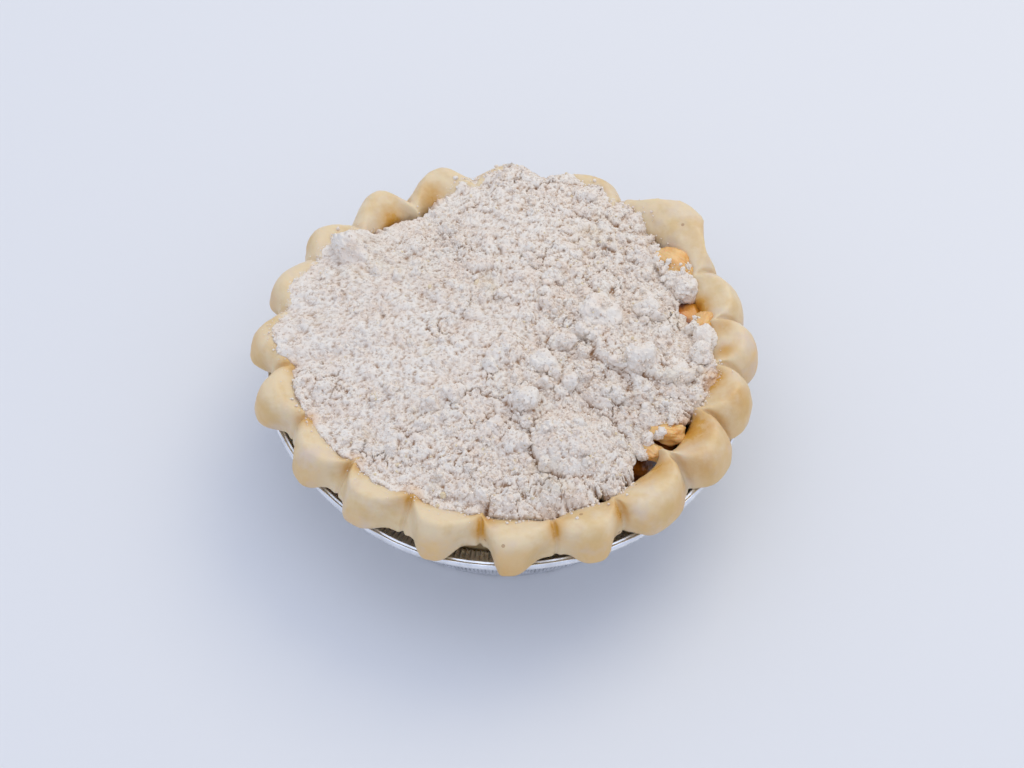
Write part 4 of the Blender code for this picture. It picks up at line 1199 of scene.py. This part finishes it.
class PIE_OT_crumbs(bpy.types.Operator):
    """Strew clumps, crumbs and grains over the crumble and beside it"""

    bl_idname = "pie.crumbs"
    bl_label = "Loose crumble"

    def execute(self, context):
        settings = context.scene.pie.crumble
        finish = crumble_finish("loose_crumble", settings, True)
        clumps = clump_rows()
        large = clumps[:, 3] > 2.8
        skins = []
        for name, rows, level in (("crumble_clumps", clumps[large], 4), ("crumble_lumps", clumps[~large], 3)):
            draw = np.random.default_rng(5)
            uneven = np.clip(0.62 - 0.10 * rows[:, 3:], 0.26, 0.5)
            points, faces, tints = strewn(level, rows[:, :3], rows[:, 3], draw, uneven, 1.5, 0.22)
            fields = {"tint": 0.6 * tints, "syrup": soaked(points)}
            add_piece(name, points, [faces], finish, (), fields)
            low = np.repeat(rows[:, 2] - 0.2 * rows[:, 3], len(points) // len(rows))
            skins.append(points[points[:, 2] > low])
        skin = np.concatenate([skins[0][::2], skins[1]])
        # Name, number, level of the round, radii, lean, unevenness, and the shares on clumps and on apple.
        grains = settings.grains
        kinds = (
            ("crumble_crumbs", 700, 1, (0.45, 1.0), 2.4, 0.5, 0.0, 0.054),
            ("crumble_grains_large", grains, 0, (0.24, 0.48), 1.8, 0.45, 0.12, 0.004),
            ("crumble_grains_middling", grains, 0, (0.18, 0.34), 1.5, 0.45, 0.30, 0.004),
            ("crumble_grains_small", grains, 0, (0.13, 0.26), 1.3, 0.45, 0.35, 0.004),
        )
        for number, (name, count, level, radii, lean, lump, on_clumps, on_apples) in enumerate(kinds):
            draw = np.random.default_rng(70 + number)
            centres, radius = strewn_places(draw, count, radii, lean, on_clumps, on_apples, clumps, skin)
            points, faces, tints = strewn(level, centres, radius, draw, lump)
            fields = {"tint": tints, "syrup": soaked(points)}
            add_piece(name, points, [faces], finish, (), fields, smooth=level > 0)
        return {"FINISHED"}


class PIE_OT_stage(bpy.types.Operator):
    """Set the pale floor, the soft light and the camera"""

    bl_idname = "pie.stage"
    bl_label = "Stage"

    def execute(self, context):
        settings = context.scene.pie.stage
        link = context.scene.collection.objects.link
        mesh = bpy.data.meshes.new("floor")
        corners = np.array(((-1.0, -1.0, 0.0), (1.0, -1.0, 0.0), (1.0, 1.0, 0.0), (-1.0, 1.0, 0.0)))
        fill_mesh(mesh, FLOOR_REACH * corners, [np.array(((0, 1, 2, 3),))])
        finish, tree, shader, place = new_finish("tabletop", 0.6)
        dim = [0.97 * amount for amount in settings.floor]
        colour = blended(tree, noise_at(tree, place, 3.0), settings.floor, dim)
        tree.links.new(colour, shader.inputs["Base Color"])
        mesh.materials.append(finish)
        floor = bpy.data.objects.new("floor", mesh)
        link(floor)

        world = bpy.data.worlds.new("soft_room")
        world.use_nodes = True
        sky = world.node_tree.nodes["Background"]
        sky.inputs["Color"].default_value = (*settings.sky, 1.0)
        sky.inputs["Strength"].default_value = settings.sky_strength
        context.scene.world = world
        window = bpy.data.lights.new("window", "AREA")
        window.shape, window.size, window.size_y = "RECTANGLE", *WINDOW_SIZE
        window.energy, window.color = settings.window_power, WINDOW_COLOUR
        lamp = bpy.data.objects.new("window", window)
        lamp.location = WINDOW_PLACE
        lamp.rotation_euler = (-lamp.location).to_track_quat("-Z", "Y").to_euler()
        link(lamp)
        ceiling = bpy.data.lights.new("ceiling", "AREA")
        ceiling.shape, ceiling.size = "SQUARE", CEILING_SIZE
        ceiling.energy, ceiling.color = settings.ceiling_power, CEILING_COLOUR
        overhead = bpy.data.objects.new("ceiling", ceiling)
        overhead.location = CEILING_PLACE
        link(overhead)

        elevation = math.radians(CAMERA_ELEVATION)
        back, up = CAMERA_AWAY * math.cos(elevation), CAMERA_AWAY * math.sin(elevation)
        camera = bpy.data.cameras.new("camera")
        camera.sensor_width = 36.0
        camera.lens = CAMERA_FOCUS * camera.sensor_width
        camera.clip_start, camera.clip_end = 0.01, 20.0
        eye = bpy.data.objects.new("camera", camera)
        eye.location = [MM * (aim + off) for aim, off in zip(CAMERA_AIM, (0.0, -back, up))]
        eye.rotation_euler = (math.pi / 2.0 - elevation, 0.0, 0.0)
        link(eye)
        context.scene.camera = eye
        context.scene.view_settings.view_transform = "Standard"
        return {"FINISHED"}


class PIE_PT_panel(bpy.types.Panel):
    """Lists the pie's pieces"""

    bl_idname = "PIE_PT_panel"
    bl_label = "Apple crumble pie"
    bl_space_type = "VIEW_3D"
    bl_region_type = "UI"
    bl_category = "Pie"

    def draw(self, context):
        for operator in OPERATORS:
            self.layout.operator(operator.bl_idname)


# The makers in the order in which they run, then everything that is registered.
OPERATORS = (
    PIE_OT_crust, PIE_OT_foil, PIE_OT_filling, PIE_OT_apples, PIE_OT_crumble_bed, PIE_OT_crumbs, PIE_OT_stage,
)
CLASSES = (
    CrustSettings, FoilSettings, FillingSettings, AppleSettings, CrumbleSettings, StageSettings, PieSettings,
    *OPERATORS, PIE_PT_panel,
)


def register():
    """Registers the classes and adds the pie's settings to the scene."""
    for made in CLASSES:
        bpy.utils.register_class(made)
    bpy.types.Scene.pie = PointerProperty(type=PieSettings)


def unregister():
    """Takes the settings and the classes away again."""
    del bpy.types.Scene.pie
    for made in reversed(CLASSES):
        bpy.utils.unregister_class(made)


def main():
    """Makes the whole pie."""
    register()
    make_groups()
    for operator in OPERATORS:
        getattr(bpy.ops.pie, operator.bl_idname.split(".")[1])()
    bpy.context.view_layer.update()


if __name__ == "__main__":
    main()
